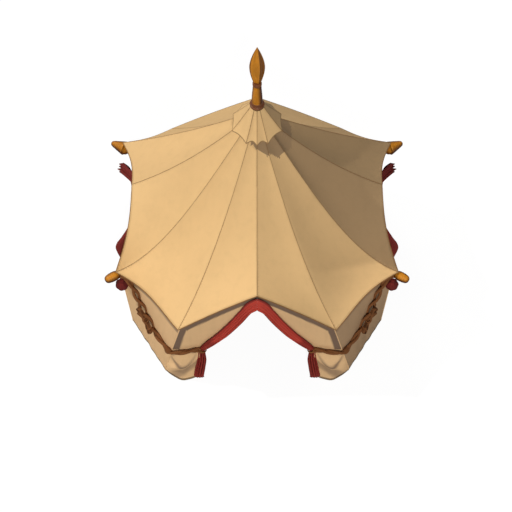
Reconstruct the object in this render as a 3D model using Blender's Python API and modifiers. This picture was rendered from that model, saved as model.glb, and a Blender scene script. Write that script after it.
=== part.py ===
"""Medieval pavilion tent with arched eaves, swept-back red curtains and a carved wooden finial.

Metres, +Z up, front towards -Y. The origin is on the ground at the foot of the centre pole.
The right half is described, and the left half is its mirror image in the plane X = 0.
"""

import math
from collections import namedtuple

import bmesh
import bpy
import numpy as np
from mathutils import Vector

# Heights above the ground
EAVE = 1.75
ROOF_APEX = EAVE + 3.12
POLE_TOP = EAVE + 3.2925

# Seams of the roof, given where they end at the eave of the right half. Rise is the height
# above EAVE, sag the hollow of the seam below a straight line to the apex, and skew moves
# that hollow towards the eave.
Seam = namedtuple("Seam", "x y rise sag skew")
SEAMS = {
    "front": Seam(0.0, -2.30, 0.76, 0.55, 0.0),
    "front_corner": Seam(1.42, -2.60, 0.0, 0.62, 0.0),
    "side_front": Seam(2.60, -1.42, 0.0, 0.66, 0.8),
    "side": Seam(2.30, 0.0, 0.76, 0.25, 0.0),
    "side_back": Seam(2.60, 1.42, 0.0, 0.12, 0.0),
    "back_corner": Seam(1.65, 1.75, 0.0, 0.14, 0.0),
    "back": Seam(0.0, 1.95, 0.76, 0.20, 0.0),
}

# Roof panels in anticlockwise order. Bow is how far the eave curves inwards between the
# seams. An ease below 1 moves that curve towards the first seam, and above 1 to the last.
Panel = namedtuple("Panel", "first last bow ease")
PANELS = [
    Panel("front", "front_corner", 0.02, 1.0),
    Panel("front_corner", "side_front", 0.105, 1.3),
    Panel("side_front", "side", 0.075, 1.0),
    Panel("side", "side_back", 0.075, 1.0),
    Panel("side_back", "back_corner", 0.06, 1.0),
    Panel("back_corner", "back", -0.02, 1.0),
]

SPOKE_SEAMS = ("side_front", "side_back")

# Feet of the walls on the ground, below the corners of the eave
FEET = {
    "front_corner": Vector((1.745, -2.60, 0.0)),
    "side_front": Vector((2.41, -1.55, 0.0)),
    "side_back": Vector((2.41, 1.55, 0.0)),
    "back_corner": Vector((1.70, 1.86, 0.0)),
}

CANVAS = 0.010
ROOF_START = 0.055
SEAM_GAP = 0.004
BILLOW = 0.035
WALL_INSET = 0.965
WALL_DROP = 0.035
NOTCH_TOP = EAVE - 0.31
HEM = 0.10
WALL_BELLY = 0.03

# Curtains of one half doorway: distance from the door's centre line, distance out from the
# pole and height above EAVE, from the peak to the tie and on to the foot
DOOR_MIDDLE = 0.003
FRONT_CURTAIN = [
    (DOOR_MIDDLE, 2.27, 0.39),
    (0.20, 2.30, 0.14),
    (0.38, 2.35, -0.18),
    (0.64, 2.42, -0.57),
    (0.87, 2.48, -0.81),
    (0.97, 2.51, -0.90),
    (1.02, 2.53, -0.97),
    (1.03, 2.62, -1.20),
    (1.07, 2.70, -1.45),
    (1.10, 2.75, -1.65),
    (1.10, 2.75, -1.75),
]
SIDE_FRONT_CURTAIN = [
    (DOOR_MIDDLE, 2.24, 0.42),
    (0.22, 2.27, 0.28),
    (0.45, 2.32, 0.13),
    (0.66, 2.45, 0.00),
    (0.81, 2.55, -0.12),
    (0.99, 2.45, -0.45),
    (1.14, 2.46, -0.87),
    (1.13, 2.45, -1.10),
    (1.11, 2.44, -1.40),
    (1.10, 2.44, -1.62),
    (1.10, 2.44, -1.75),
]
SIDE_BACK_CURTAIN = [
    (DOOR_MIDDLE, 2.24, 0.42),
    (0.22, 2.27, 0.28),
    (0.50, 2.34, 0.12),
    (0.75, 2.49, -0.01),
    (0.94, 2.60, -0.15),
    (1.09, 2.52, -0.50),
    (1.18, 2.48, -0.87),
    (1.16, 2.46, -1.10),
    (1.13, 2.45, -1.40),
    (1.10, 2.44, -1.62),
    (1.10, 2.44, -1.75),
]
TIE_STATION = 6
CURTAIN_WIDTHS = (0.21, 0.115, 0.115, 0.115, 0.100, 0.080, 0.052, 0.085, 0.095, 0.095, 0.095)
FRONT_DEPTHS = (0.030, 0.035, 0.040, 0.045, 0.050, 0.048, 0.042, 0.050, 0.050, 0.045, 0.045)
SIDE_DEPTHS = (0.030, 0.035, 0.045, 0.080, 0.110, 0.070, 0.042, 0.050, 0.050, 0.045, 0.045)
RINGS_PER_STATION = 2
CURTAIN_CLEARANCE = 0.014
TIE_CLEARANCE = 0.036
CURTAIN_SIDES = 8
FLAP_CORNER_SHARE = 0.45
FRONT_FLAP_BULGE = 0.16
SIDE_FLAP_BULGE = 0.01
FRONT_FLAP_REACH = 3.0
SIDE_FLAP_REACH = 2.44
FLAP_HEM = 0.06

# Frame of wood
POLE_RADIUS = 0.045
POLE_FOOT_RADIUS = 0.11
POLE_FOOT_HEIGHT = 0.04
POLE_HEAD_RADIUS = 0.10
POLE_HEAD_BASE = EAVE + 2.70
POLE_CONE_TOP = EAVE + 2.98
SPOKE_HEIGHT = EAVE - 0.095
SPOKE_RADIUS = 0.042
HORN_START = 2.90
# Carved horns of the spokes: radius and distance from the pole, from the tip to the root, and
# how far the root and the tip hang below the spoke
HORNS = {
    "side_front": [
        (0.0, 3.19),
        (0.032, 3.187),
        (0.056, 3.172),
        (0.074, 3.145),
        (0.088, 3.09),
        (0.092, 3.02),
        (0.088, 2.97),
        (0.074, 2.93),
    ],
    "side_back": [
        (0.0, 3.24),
        (0.028, 3.237),
        (0.047, 3.222),
        (0.066, 3.18),
        (0.092, 3.10),
        (0.120, 3.01),
        (0.138, 2.945),
        (0.110, 2.915),
    ],
}
HORN_DROOPS = {"side_front": (0.014, 0.020), "side_back": (0.078, 0.030)}
HUB_RADIUS = 0.17
HUB_HALF_HEIGHT = 0.075
HUB_GAP = 0.0005
HOOP_RADIUS = 0.018
HOOP_INSET = 0.925
HOOP_DROP = 0.175
HOOP_POINTS_PER_PANEL = 5

# Finial and crown cap
COLLAR_BASE = POLE_TOP + 0.0005
COLLAR_TOP = EAVE + 3.41
COLLAR_RADIUS = 0.126
SHAFT_TOP = EAVE + 3.86
SHAFT_TOP_RADIUS = 0.073
SHAFT_FOOT_RADIUS = 0.090
RING_TOP = EAVE + 3.93
RING_RADIUS = 0.078
LEAF_TIP = EAVE + 4.87
LEAF_HALF_WIDTH = 0.127
LEAF_BASE_SHARE = 0.50
LEAF_HALF_DEPTH = 0.060
LEAF_WIDEST = 0.45
CAP_TOP = EAVE + 3.2845
CAP_RIM = EAVE + 2.75
CAP_SCALLOP = 0.04
CAP_TIP_RADIUS = 0.455
CAP_VALLEY_RADIUS = 0.424
CAP_HOLE_RADIUS = 0.052
CAP_SHOULDER_RADIUS = 0.120
# Directions of the points of the cap's rim, in degrees from the right anticlockwise
CAP_TURNS = (-90, -66, -20, 25, 57, 90, 123, 155, 200, 246, 270)
CAP_THICKNESS = 0.008

# Ropes. The garland's stations are shares of the corner wall's width from the front corner,
# and heights above EAVE.
ROPE_RADIUS = 0.034
ROPE_STANDOFF = 0.046
GARLAND = [
    (0.87, -0.14),
    (0.80, -0.27),
    (0.73, -0.43),
    (0.62, -0.61),
    (0.50, -0.74),
    (0.35, -0.87),
    (0.17, -0.92),
    (0.02, -0.935),
]
BOW_STATION = 4
BOW_HALF_LENGTH = 0.30
BOW_HALF_WIDTH = 0.105
BOW_HALF_DEPTH = 0.040
BOW_CLEARANCE = 0.008
BULGE_START = FLAP_CORNER_SHARE + (1.0 - FLAP_CORNER_SHARE) * 0.42
KNOT_LEVEL = FLAP_CORNER_SHARE + (1.0 - FLAP_CORNER_SHARE) * 0.53
GARLAND_ON_FLAP = (0.97, 0.70, 0.40, 0.16)
TIE_RADIUS = 0.012
TIE_GAP = 0.010


def material(name, color, roughness):
    """Return a Principled material of one colour."""
    made = bpy.data.materials.new(name)
    made.use_nodes = True
    shader = made.node_tree.nodes["Principled BSDF"]
    shader.inputs["Base Color"].default_value = (*color, 1.0)
    shader.inputs["Roughness"].default_value = roughness
    shader.inputs["Metallic"].default_value = 0.0
    made.diffuse_color = (*color, 1.0)
    return made


def new_object(name, bm, collection, surface_material, smooth_degrees=40):
    """Write a bmesh into a named object."""
    mesh = bpy.data.meshes.new(name)
    bm.to_mesh(mesh)
    bm.free()
    mesh.materials.append(surface_material)
    mesh.shade_smooth()
    mesh.set_sharp_from_angle(angle=math.radians(smooth_degrees))
    made = bpy.data.objects.new(name, mesh)
    collection.objects.link(made)
    return made


def sheet(name, point, rows, columns, collection, cloth, side=1, thickness=CANVAS):
    """Make a cloth panel from a grid whose corners are placed by point(down, along).

    Down and along run from 0 to 1, along runs anticlockwise as seen from above, and side is
    1 for the right half or -1 for its mirror image.
    """
    bm = bmesh.new()
    bmesh.ops.create_grid(bm, x_segments=rows, y_segments=columns, size=1.0)
    for vertex in bm.verts:
        placed = point((vertex.co.x + 1.0) / 2.0, (vertex.co.y + 1.0) / 2.0)
        vertex.co = Vector((side * placed.x, placed.y, placed.z))
    if side < 0:
        bmesh.ops.reverse_faces(bm, faces=bm.faces)
    made = new_object(name, bm, collection, cloth)
    solidify = made.modifiers.new("Thickness", "SOLIDIFY")
    solidify.thickness = thickness
    solidify.offset = 1.0
    return made


def turned(name, profile, collection, wood, steps=16):
    """Turn a profile of (radius, height) pairs, listed from the top down, about the Z axis."""
    bm = bmesh.new()
    corners = [bm.verts.new((radius, 0.0, height)) for radius, height in profile]
    for upper, lower in zip(corners, corners[1:]):
        bm.edges.new((upper, lower))
    made = new_object(name, bm, collection, wood)
    screw = made.modifiers.new("Turn", "SCREW")
    screw.axis = "Z"
    screw.steps = steps
    screw.render_steps = steps
    screw.use_merge_vertices = True
    screw.merge_threshold = 0.00005
    return made


def tube(name, points, radius, collection, surface_material, cyclic=False, resolution=1):
    """Make a round tube along a list of points."""
    curve = bpy.data.curves.new(name, "CURVE")
    curve.dimensions = "3D"
    curve.bevel_depth = radius
    curve.bevel_resolution = resolution
    curve.use_fill_caps = not cyclic
    spline = curve.splines.new("POLY")
    spline.points.add(len(points) - 1)
    for target, point in zip(spline.points, points):
        target.co = (*point, 1.0)
    spline.use_cyclic_u = cyclic
    spline.use_smooth = True
    curve.materials.append(surface_material)
    made = bpy.data.objects.new(name, curve)
    collection.objects.link(made)
    return made


def smooth_path(points, steps):
    """Return points on a smooth curve through a list of points, with steps to each stretch."""
    padded = [points[0], *points, points[-1]]
    path = []
    for before, start, end, after in zip(padded, padded[1:], padded[2:], padded[3:]):
        for step in range(steps):
            t = step / steps
            path.append(
                start * 1.0
                + (end - before) * (0.5 * t)
                + (before * 2.0 - start * 5.0 + end * 4.0 - after) * (0.5 * t * t)
                + (start * 3.0 - before - end * 3.0 + after) * (0.5 * t**3)
            )
    path.append(points[-1].copy())
    return path


def edge_values(panel, v):
    """Return x, y, rise, sag and skew on a panel's eave, v from 0 to 1 between its seams."""
    first = np.array(SEAMS[panel.first])
    last = np.array(SEAMS[panel.last])
    values = first + (last - first) * v
    across = last[:2] - first[:2]
    inward = np.array((-across[1], across[0])) / np.hypot(*across)
    values[:2] += inward * panel.bow * math.sin(math.pi * v**panel.ease)
    return values


def roof_point(panel, t, v):
    """Return a point of a roof panel's inner face, t from 0 at the apex to 1 at the eave."""
    x, y, rise, sag, skew = edge_values(panel, v)
    arch = 4.0 * t * (1.0 - t)
    hollow = arch * (sag * (1.0 + skew * (t - 0.5)) + BILLOW * math.sin(math.pi * v))
    height = ROOF_APEX + (EAVE + rise - ROOF_APEX) * t - hollow
    return Vector((x * t, y * t, height))


def under_eave(panel, v):
    """Return the top of a wall below the eave, cut down at a corner where a spoke comes out."""
    top = roof_point(panel, WALL_INSET, v) - Vector((0.0, 0.0, WALL_DROP))
    corner = panel.first if v < 0.001 else panel.last if v > 0.999 else None
    if corner in SPOKE_SEAMS:
        top.z = NOTCH_TOP
    return top


def find_panel(first, last):
    """Return the roof panel between two named seams."""
    return next(panel for panel in PANELS if (panel.first, panel.last) == (first, last))


def make_roof(collection, cloth):
    """Make the twelve roof panels."""
    for panel in PANELS:
        def point(down, along, panel=panel):
            t = ROOF_START + (1.0 - ROOF_START) * down
            v = SEAM_GAP + (1.0 - 2.0 * SEAM_GAP) * along
            return roof_point(panel, t, v)
        for side, word in ((1, "right"), (-1, "left")):
            name = f"roof_{word}_{panel.first}_to_{panel.last}"
            sheet(name, point, 7, 4, collection, cloth, side)


def make_corner_wall(name, panel, collection, cloth, side):
    """Make the short wall that closes a corner between two doorways."""
    rows, columns = 6, 6
    foot_first, foot_last = FEET[panel.first], FEET[panel.last]
    outward = Vector((foot_last.y - foot_first.y, foot_first.x - foot_last.x, 0.0)).normalized()

    def point(down, along):
        top = under_eave(panel, along)
        v = SEAM_GAP + (1.0 - 2.0 * SEAM_GAP) * along
        foot = foot_first.lerp(foot_last, v)
        hem_share = 1.0 - 1.0 / rows
        if down > hem_share + 0.001:
            return foot
        share = down / hem_share
        placed = top.lerp(foot + Vector((0.0, 0.0, HEM)), share)
        return placed + outward * (WALL_BELLY * math.sin(math.pi * share) * math.sin(math.pi * v))

    return sheet(name, point, rows, columns, collection, cloth, side)


def back_top(along):
    """Return the top of the back wall, along from its right end at 0 to its left end at 1."""
    panel = find_panel("back_corner", "back")
    v = 2.0 * along if along <= 0.5 else 2.0 - 2.0 * along
    top = under_eave(panel, v)
    if along > 0.5:
        top.x = -top.x
    return top


def make_back_wall(collection, cloth):
    """Make the closed wall at the back."""
    rows = 6
    hem_share = 1.0 - 1.0 / rows
    foot = FEET["back_corner"]

    def point(down, along):
        along = SEAM_GAP + (1.0 - 2.0 * SEAM_GAP) * along
        ground = Vector((foot.x * (1.0 - 2.0 * along), foot.y, 0.0))
        if down > hem_share + 0.001:
            return ground
        return back_top(along).lerp(ground + Vector((0.0, 0.0, HEM)), down / hem_share)

    return sheet("back_wall", point, rows, 10, collection, cloth)


def make_back_trim(collection, cloth):
    """Make the red border that follows the arch of the back wall."""
    foot = FEET["back_corner"]
    band_start, band_width = 0.05, 0.19
    standoff = Vector((0.0, CANVAS + 0.004, 0.0))

    def point(down, along):
        along = 0.02 + 0.96 * along
        top = back_top(along)
        ground = Vector((foot.x * (1.0 - 2.0 * along), foot.y, HEM))
        slope = (ground - top).normalized()
        return top + slope * (band_start + band_width * down) + standoff

    return sheet("back_trim", point, 1, 12, collection, cloth, thickness=0.006)


class Doorway:
    """One half of an open doorway, in the right half of the tent."""

    def __init__(self, peak, corner, out, to_corner, curtain, depths, bulge, reach):
        self.corner_first = any((panel.first, panel.last) == (corner, peak) for panel in PANELS)
        self.panel = find_panel(corner, peak) if self.corner_first else find_panel(peak, corner)
        self.corner = corner
        self.out = Vector(out)
        self.to_corner = Vector(to_corner)
        self.bulge = bulge
        self.reach = reach
        stations = [
            self.to_corner * across + self.out * far + Vector((0.0, 0.0, EAVE + height))
            for across, far, height in curtain
        ]
        self.path = smooth_path(stations, RINGS_PER_STATION)
        steps = np.arange(len(curtain))
        fine = np.linspace(0, len(curtain) - 1, len(self.path))
        self.half_width = np.interp(fine, steps, CURTAIN_WIDTHS)
        self.half_depth = np.interp(fine, steps, depths)

    def frame(self, index):
        """Return the curtain's centre and its direction towards the corner at one ring."""
        centre = self.path[index]
        if index == 0:
            along = self.to_corner
        elif index == len(self.path) - 1:
            along = Vector((0.0, 0.0, -1.0))
        else:
            along = self.path[index + 1] - self.path[index - 1]
        along = (along - self.out * along.dot(self.out)).normalized()
        sideways = self.out.cross(along)
        if sideways.dot(self.to_corner + Vector((0.0, 0.0, 1.0))) < 0.0:
            sideways = -sideways
        return centre, sideways

    def door_edge(self, down):
        """Return where the flap meets the curtain, down from 0 at the peak to 1 at the foot."""
        place = down * (len(self.path) - 1)
        index = min(int(place), len(self.path) - 2)
        ends = []
        for ring in (index, index + 1):
            centre, sideways = self.frame(ring)
            near_tie = max(0.0, 1.0 - abs(ring - TIE_STATION * RINGS_PER_STATION) / 2.0)
            clearance = CURTAIN_CLEARANCE + TIE_CLEARANCE * near_tie
            beyond = max(0.0, centre.dot(self.out) - self.reach)
            edge = sideways * (self.half_width[ring] + clearance) - self.out * beyond
            ends.append(centre + edge)
        return ends[0].lerp(ends[1], place - index)

    def corner_edge(self, down):
        """Return the flap's outer edge: along the eave to the corner, then down the seam."""
        if down <= FLAP_CORNER_SHARE + 0.0001:
            v = min(down / FLAP_CORNER_SHARE, 1.0)
            return under_eave(self.panel, 1.0 - v if self.corner_first else v)
        top = under_eave(self.panel, 0.0 if self.corner_first else 1.0)
        share = (down - FLAP_CORNER_SHARE) / (1.0 - FLAP_CORNER_SHARE)
        return top.lerp(FEET[self.corner], share)

    def flap_point(self, down, share):
        """Return a point of the flap, share from 0 at the curtain to 1 at the corner."""
        within = SEAM_GAP + (1.0 - 2.0 * SEAM_GAP) * share
        placed = self.door_edge(down).lerp(self.corner_edge(down), within)
        bulge = self.bulge * max(0.0, down - BULGE_START) / (1.0 - BULGE_START)
        return placed + self.out * (bulge * math.sin(math.pi * share))


def make_flap(name, door, collection, cloth, side):
    """Make the canvas between the eave, the corner seam and the curtain of one doorway."""
    rows, columns = RINGS_PER_STATION * (len(CURTAIN_WIDTHS) - 1), 3
    hem_row = (rows - 1) / rows

    def point(down, along):
        outward_share = 1.0 - along if door.corner_first else along
        if down < hem_row - 0.001:
            return door.flap_point(down, outward_share)
        placed = door.flap_point(1.0, outward_share)
        placed.z = 0.0 if down > hem_row + 0.001 else FLAP_HEM
        return placed

    return sheet(name, point, rows, columns, collection, cloth, side)


def make_curtain(name, door, collection, cloth, side):
    """Make the gathered red curtain of one doorway as a body swept from peak to foot."""
    rings = len(door.path) - 1
    bm = bmesh.new()
    bmesh.ops.create_grid(bm, x_segments=rings, y_segments=CURTAIN_SIDES, size=1.0)
    for vertex in bm.verts:
        ring = round((vertex.co.x + 1.0) / 2.0 * rings)
        turn = (vertex.co.y + 1.0) * math.pi
        centre, sideways = door.frame(ring)
        placed = centre + sideways * (door.half_width[ring] * math.cos(turn))
        placed += door.out * (door.half_depth[ring] * math.sin(turn))
        past_middle = DOOR_MIDDLE - placed.dot(door.to_corner)
        placed += door.to_corner * max(0.0, past_middle)
        vertex.co = Vector((side * placed.x, placed.y, placed.z))
    bmesh.ops.remove_doubles(bm, verts=bm.verts, dist=0.00005)
    bmesh.ops.holes_fill(bm, edges=[edge for edge in bm.edges if edge.is_boundary])
    bm.normal_update()
    bmesh.ops.recalc_face_normals(bm, faces=bm.faces)
    return new_object(name, bm, collection, cloth)


def make_crown_cap(collection, cloth):
    """Make the pleated cap that covers the top of the roof, one point of its rim to the front."""
    columns = (len(CAP_TURNS) - 1) * 2
    outline = [(CAP_HOLE_RADIUS, CAP_TOP), (CAP_SHOULDER_RADIUS, CAP_TOP)]
    bm = bmesh.new()
    bmesh.ops.create_grid(bm, x_segments=3, y_segments=columns, size=1.0)
    for vertex in bm.verts:
        row = round((vertex.co.x + 1.0) / 2.0 * 3)
        column = round((vertex.co.y + 1.0) / 2.0 * columns)
        turn = math.radians((CAP_TURNS[column // 2] + CAP_TURNS[(column + 1) // 2]) / 2.0)
        at_tip = column % 2 == 0
        tip = CAP_TIP_RADIUS if at_tip else CAP_VALLEY_RADIUS
        rim = CAP_RIM if at_tip else CAP_RIM + CAP_SCALLOP
        if row < 2:
            radius, height = outline[row]
        else:
            share = (row - 1) / 2.0
            radius = CAP_SHOULDER_RADIUS + (tip - CAP_SHOULDER_RADIUS) * share
            height = CAP_TOP + (rim - CAP_TOP) * share
        vertex.co = Vector((radius * math.cos(turn), radius * math.sin(turn), height))
    bmesh.ops.remove_doubles(bm, verts=bm.verts, dist=0.00005)
    made = new_object("crown_cap", bm, collection, cloth, 20)
    solidify = made.modifiers.new("Thickness", "SOLIDIFY")
    solidify.thickness = CAP_THICKNESS
    solidify.offset = 1.0
    return made


def make_pole(collection, wood):
    """Make the centre pole with its foot and the cone that carries the roof."""
    profile = [
        (0.0, POLE_TOP),
        (POLE_RADIUS, POLE_TOP),
        (POLE_RADIUS, POLE_CONE_TOP),
        (POLE_HEAD_RADIUS, POLE_HEAD_BASE + 0.06),
        (POLE_HEAD_RADIUS, POLE_HEAD_BASE),
        (POLE_RADIUS, POLE_HEAD_BASE - 0.05),
        (POLE_RADIUS, POLE_FOOT_HEIGHT + 0.02),
        (POLE_FOOT_RADIUS, POLE_FOOT_HEIGHT),
        (POLE_FOOT_RADIUS, 0.0),
        (0.0, 0.0),
    ]
    return turned("centre_pole", profile, collection, wood)


def make_hub(collection, wood):
    """Make the ring on the pole that the spokes push against."""
    low, high = SPOKE_HEIGHT - HUB_HALF_HEIGHT, SPOKE_HEIGHT + HUB_HALF_HEIGHT
    inner = POLE_RADIUS + HUB_GAP
    profile = [
        (inner, high),
        (HUB_RADIUS - 0.02, high),
        (HUB_RADIUS, high - 0.02),
        (HUB_RADIUS, low + 0.02),
        (HUB_RADIUS - 0.02, low),
        (inner, low),
        (inner, high),
    ]
    return turned("spoke_hub", profile, collection, wood)


def make_spoke(name, place, collection, wood, side):
    """Make one spoke that ends in a carved horn outside the eave."""
    sides = 12
    profile = HORNS[place] + [
        (SPOKE_RADIUS, HORN_START - 0.02),
        (SPOKE_RADIUS, HORN_START - 0.10),
        (SPOKE_RADIUS, HUB_RADIUS + HUB_GAP),
    ]
    direction = Vector((side * SEAMS[place].x, SEAMS[place].y, 0.0)).normalized()
    across = Vector((-direction.y, direction.x, 0.0))
    root, tip = HORN_DROOPS[place]
    reach = HORNS[place][0][1] - HORN_START
    bm = bmesh.new()
    rings = []
    for radius, distance in profile:
        at_root = min(max((distance - HORN_START + 0.02) / 0.035, 0.0), 1.0)
        droop = root * at_root + tip * max(distance - HORN_START, 0.0) / reach
        centre = direction * distance + Vector((0.0, 0.0, SPOKE_HEIGHT - droop))
        ring = []
        for step in range(sides if radius else 1):
            turn = math.tau * step / sides
            up = Vector((0.0, 0.0, math.sin(turn)))
            ring.append(bm.verts.new(centre + (across * math.cos(turn) + up) * radius))
        rings.append(ring)
    for outer, inner in zip(rings, rings[1:]):
        for step in range(sides):
            corners = [outer[step % len(outer)], inner[step], inner[(step + 1) % sides]]
            if len(outer) > 1:
                corners.append(outer[(step + 1) % sides])
            bm.faces.new(corners)
    bm.faces.new(rings[-1])
    bmesh.ops.recalc_face_normals(bm, faces=bm.faces)
    return new_object(name, bm, collection, wood)


def hoop_point(panel, v):
    """Return a point on the centre line of the eave hoop."""
    x, y, rise = edge_values(panel, v)[:3]
    return Vector((x * HOOP_INSET, y * HOOP_INSET, EAVE + rise - HOOP_DROP))


def make_hoop(collection, wood):
    """Make the bent rail that carries the eave, one closed tube inside the walls."""
    right = [
        hoop_point(panel, step / HOOP_POINTS_PER_PANEL)
        for panel in PANELS
        for step in range(HOOP_POINTS_PER_PANEL)
    ]
    right.append(hoop_point(PANELS[-1], 1.0))
    left = [Vector((-point.x, point.y, point.z)) for point in right[-2:0:-1]]
    return tube("eave_hoop", right + left, HOOP_RADIUS, collection, wood, True)


def make_finial(collection, wood, dark_wood):
    """Make the turned shaft, its collar and the carved leaf on top."""
    collar = [
        (0.0, COLLAR_TOP),
        (0.082, COLLAR_TOP),
        (0.100, COLLAR_TOP - 0.030),
        (0.104, COLLAR_BASE + 0.055),
        (COLLAR_RADIUS, COLLAR_BASE + 0.040),
        (COLLAR_RADIUS, COLLAR_BASE),
        (0.0, COLLAR_BASE),
    ]
    turned("finial_collar", collar, collection, dark_wood)
    middle = (SHAFT_TOP_RADIUS + SHAFT_FOOT_RADIUS) / 2.0
    shaft = [
        (0.0, SHAFT_TOP),
        (SHAFT_TOP_RADIUS, SHAFT_TOP),
        (middle, SHAFT_TOP * 0.55 + COLLAR_TOP * 0.45),
        (SHAFT_FOOT_RADIUS, COLLAR_TOP + 0.10),
        (SHAFT_FOOT_RADIUS, COLLAR_TOP + 0.0005),
        (0.0, COLLAR_TOP + 0.0005),
    ]
    turned("finial_shaft", shaft, collection, wood)
    ring = [
        (0.0, RING_TOP),
        (RING_RADIUS - 0.012, RING_TOP),
        (RING_RADIUS, RING_TOP - 0.018),
        (RING_RADIUS, SHAFT_TOP + 0.018),
        (RING_RADIUS - 0.012, SHAFT_TOP + 0.0005),
        (0.0, SHAFT_TOP + 0.0005),
    ]
    turned("finial_ring", ring, collection, dark_wood)
    make_leaf(collection, wood)


def leaf_half_width(share):
    """Return the leaf's half width, share from 0 at its base to 1 at its tip."""
    if share < LEAF_WIDEST:
        rise = math.sin(math.pi / 2.0 * share / LEAF_WIDEST)
        return LEAF_HALF_WIDTH * (LEAF_BASE_SHARE + (1.0 - LEAF_BASE_SHARE) * rise)
    return LEAF_HALF_WIDTH * (1.0 - ((share - LEAF_WIDEST) / (1.0 - LEAF_WIDEST)) ** 1.7)


def make_leaf(collection, wood):
    """Make the pointed leaf, diamond-shaped in section with a ridge down its front and back."""
    base = RING_TOP + 0.0005
    bm = bmesh.new()
    bmesh.ops.create_uvsphere(bm, u_segments=4, v_segments=14, radius=1.0)
    for vertex in bm.verts:
        share = math.acos(max(-1.0, min(1.0, -vertex.co.z))) / math.pi
        turn = math.atan2(vertex.co.y, vertex.co.x)
        on_axis = vertex.co.to_2d().length < 0.001
        half = 0.0 if on_axis else leaf_half_width(share)
        depth = half * LEAF_HALF_DEPTH / LEAF_HALF_WIDTH
        height = base if share < 0.08 else base + (LEAF_TIP - base) * (share - 0.05) / 0.95
        vertex.co = Vector((half * math.cos(turn), depth * math.sin(turn), height))
    return new_object("finial_leaf", bm, collection, wood, 20)


def wall_face_point(panel, v, height, standoff):
    """Return a point in front of a corner wall, and the direction out of that wall."""
    top = under_eave(panel, v)
    first, last = FEET[panel.first], FEET[panel.last]
    foot = first.lerp(last, v)
    share = (top.z - height) / (top.z - HEM)
    outward = Vector((last.y - first.y, first.x - last.x, 0.0)).normalized()
    belly = WALL_BELLY * math.sin(math.pi * share) * math.sin(math.pi * v)
    placed = top.lerp(foot + Vector((0.0, 0.0, HEM)), share)
    return placed + outward * (CANVAS + standoff + belly), outward


def garland_wall_points():
    """Return the garland's stations in front of the right corner wall."""
    panel = find_panel("front_corner", "side_front")
    return [wall_face_point(panel, v, EAVE + height, ROPE_STANDOFF)[0] for v, height in GARLAND]


def make_garland(name, door, collection, rope, side):
    """Make the tie rope from the eave across the corner wall to the front curtain."""
    stations = garland_wall_points()
    tie_level = TIE_STATION / (len(CURTAIN_WIDTHS) - 1)
    for share in GARLAND_ON_FLAP:
        level = tie_level + (KNOT_LEVEL - tie_level) * share
        stations.append(door.flap_point(level, share) + door.out * (CANVAS + ROPE_STANDOFF))
    path = smooth_path(stations, 2)
    mirrored = [Vector((side * point.x, point.y, point.z)) for point in path]
    return tube(name, mirrored, ROPE_RADIUS, collection, rope)


def make_bow(name, collection, rope, side):
    """Make the bow on the tie rope, as one flattened body that lies along the rope."""
    panel = find_panel("front_corner", "side_front")
    stations = garland_wall_points()
    v, height = GARLAND[BOW_STATION]
    standoff = ROPE_STANDOFF + ROPE_RADIUS + BOW_HALF_DEPTH + BOW_CLEARANCE
    centre, outward = wall_face_point(panel, v, EAVE + height, standoff)
    along = (stations[BOW_STATION + 1] - stations[BOW_STATION - 1]).normalized()
    across = outward.cross(along).normalized()
    bm = bmesh.new()
    bmesh.ops.create_uvsphere(bm, u_segments=8, v_segments=8, radius=1.0)
    for vertex in bm.verts:
        placed = centre + along * (vertex.co.z * BOW_HALF_LENGTH)
        placed += across * (vertex.co.x * BOW_HALF_WIDTH) + outward * (vertex.co.y * BOW_HALF_DEPTH)
        vertex.co = Vector((side * placed.x, placed.y, placed.z))
    bm.normal_update()
    bmesh.ops.recalc_face_normals(bm, faces=bm.faces)
    return new_object(name, bm, collection, rope)


def make_tie(name, door, collection, rope, side):
    """Make the rope loop that gathers one curtain at its tie."""
    ring = TIE_STATION * RINGS_PER_STATION
    centre, sideways = door.frame(ring)
    width = door.half_width[ring] + TIE_RADIUS + TIE_GAP
    depth = door.half_depth[ring] + TIE_RADIUS + TIE_GAP
    count = 12
    points = []
    for step in range(count):
        turn = math.tau * step / count
        point = centre + sideways * (width * math.cos(turn)) + door.out * (depth * math.sin(turn))
        points.append(Vector((side * point.x, point.y, point.z)))
    return tube(name, points, TIE_RADIUS, collection, rope, True)


def clear_scene():
    """Remove whatever the open file holds."""
    for thing in list(bpy.data.objects):
        bpy.data.objects.remove(thing, do_unlink=True)


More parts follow.
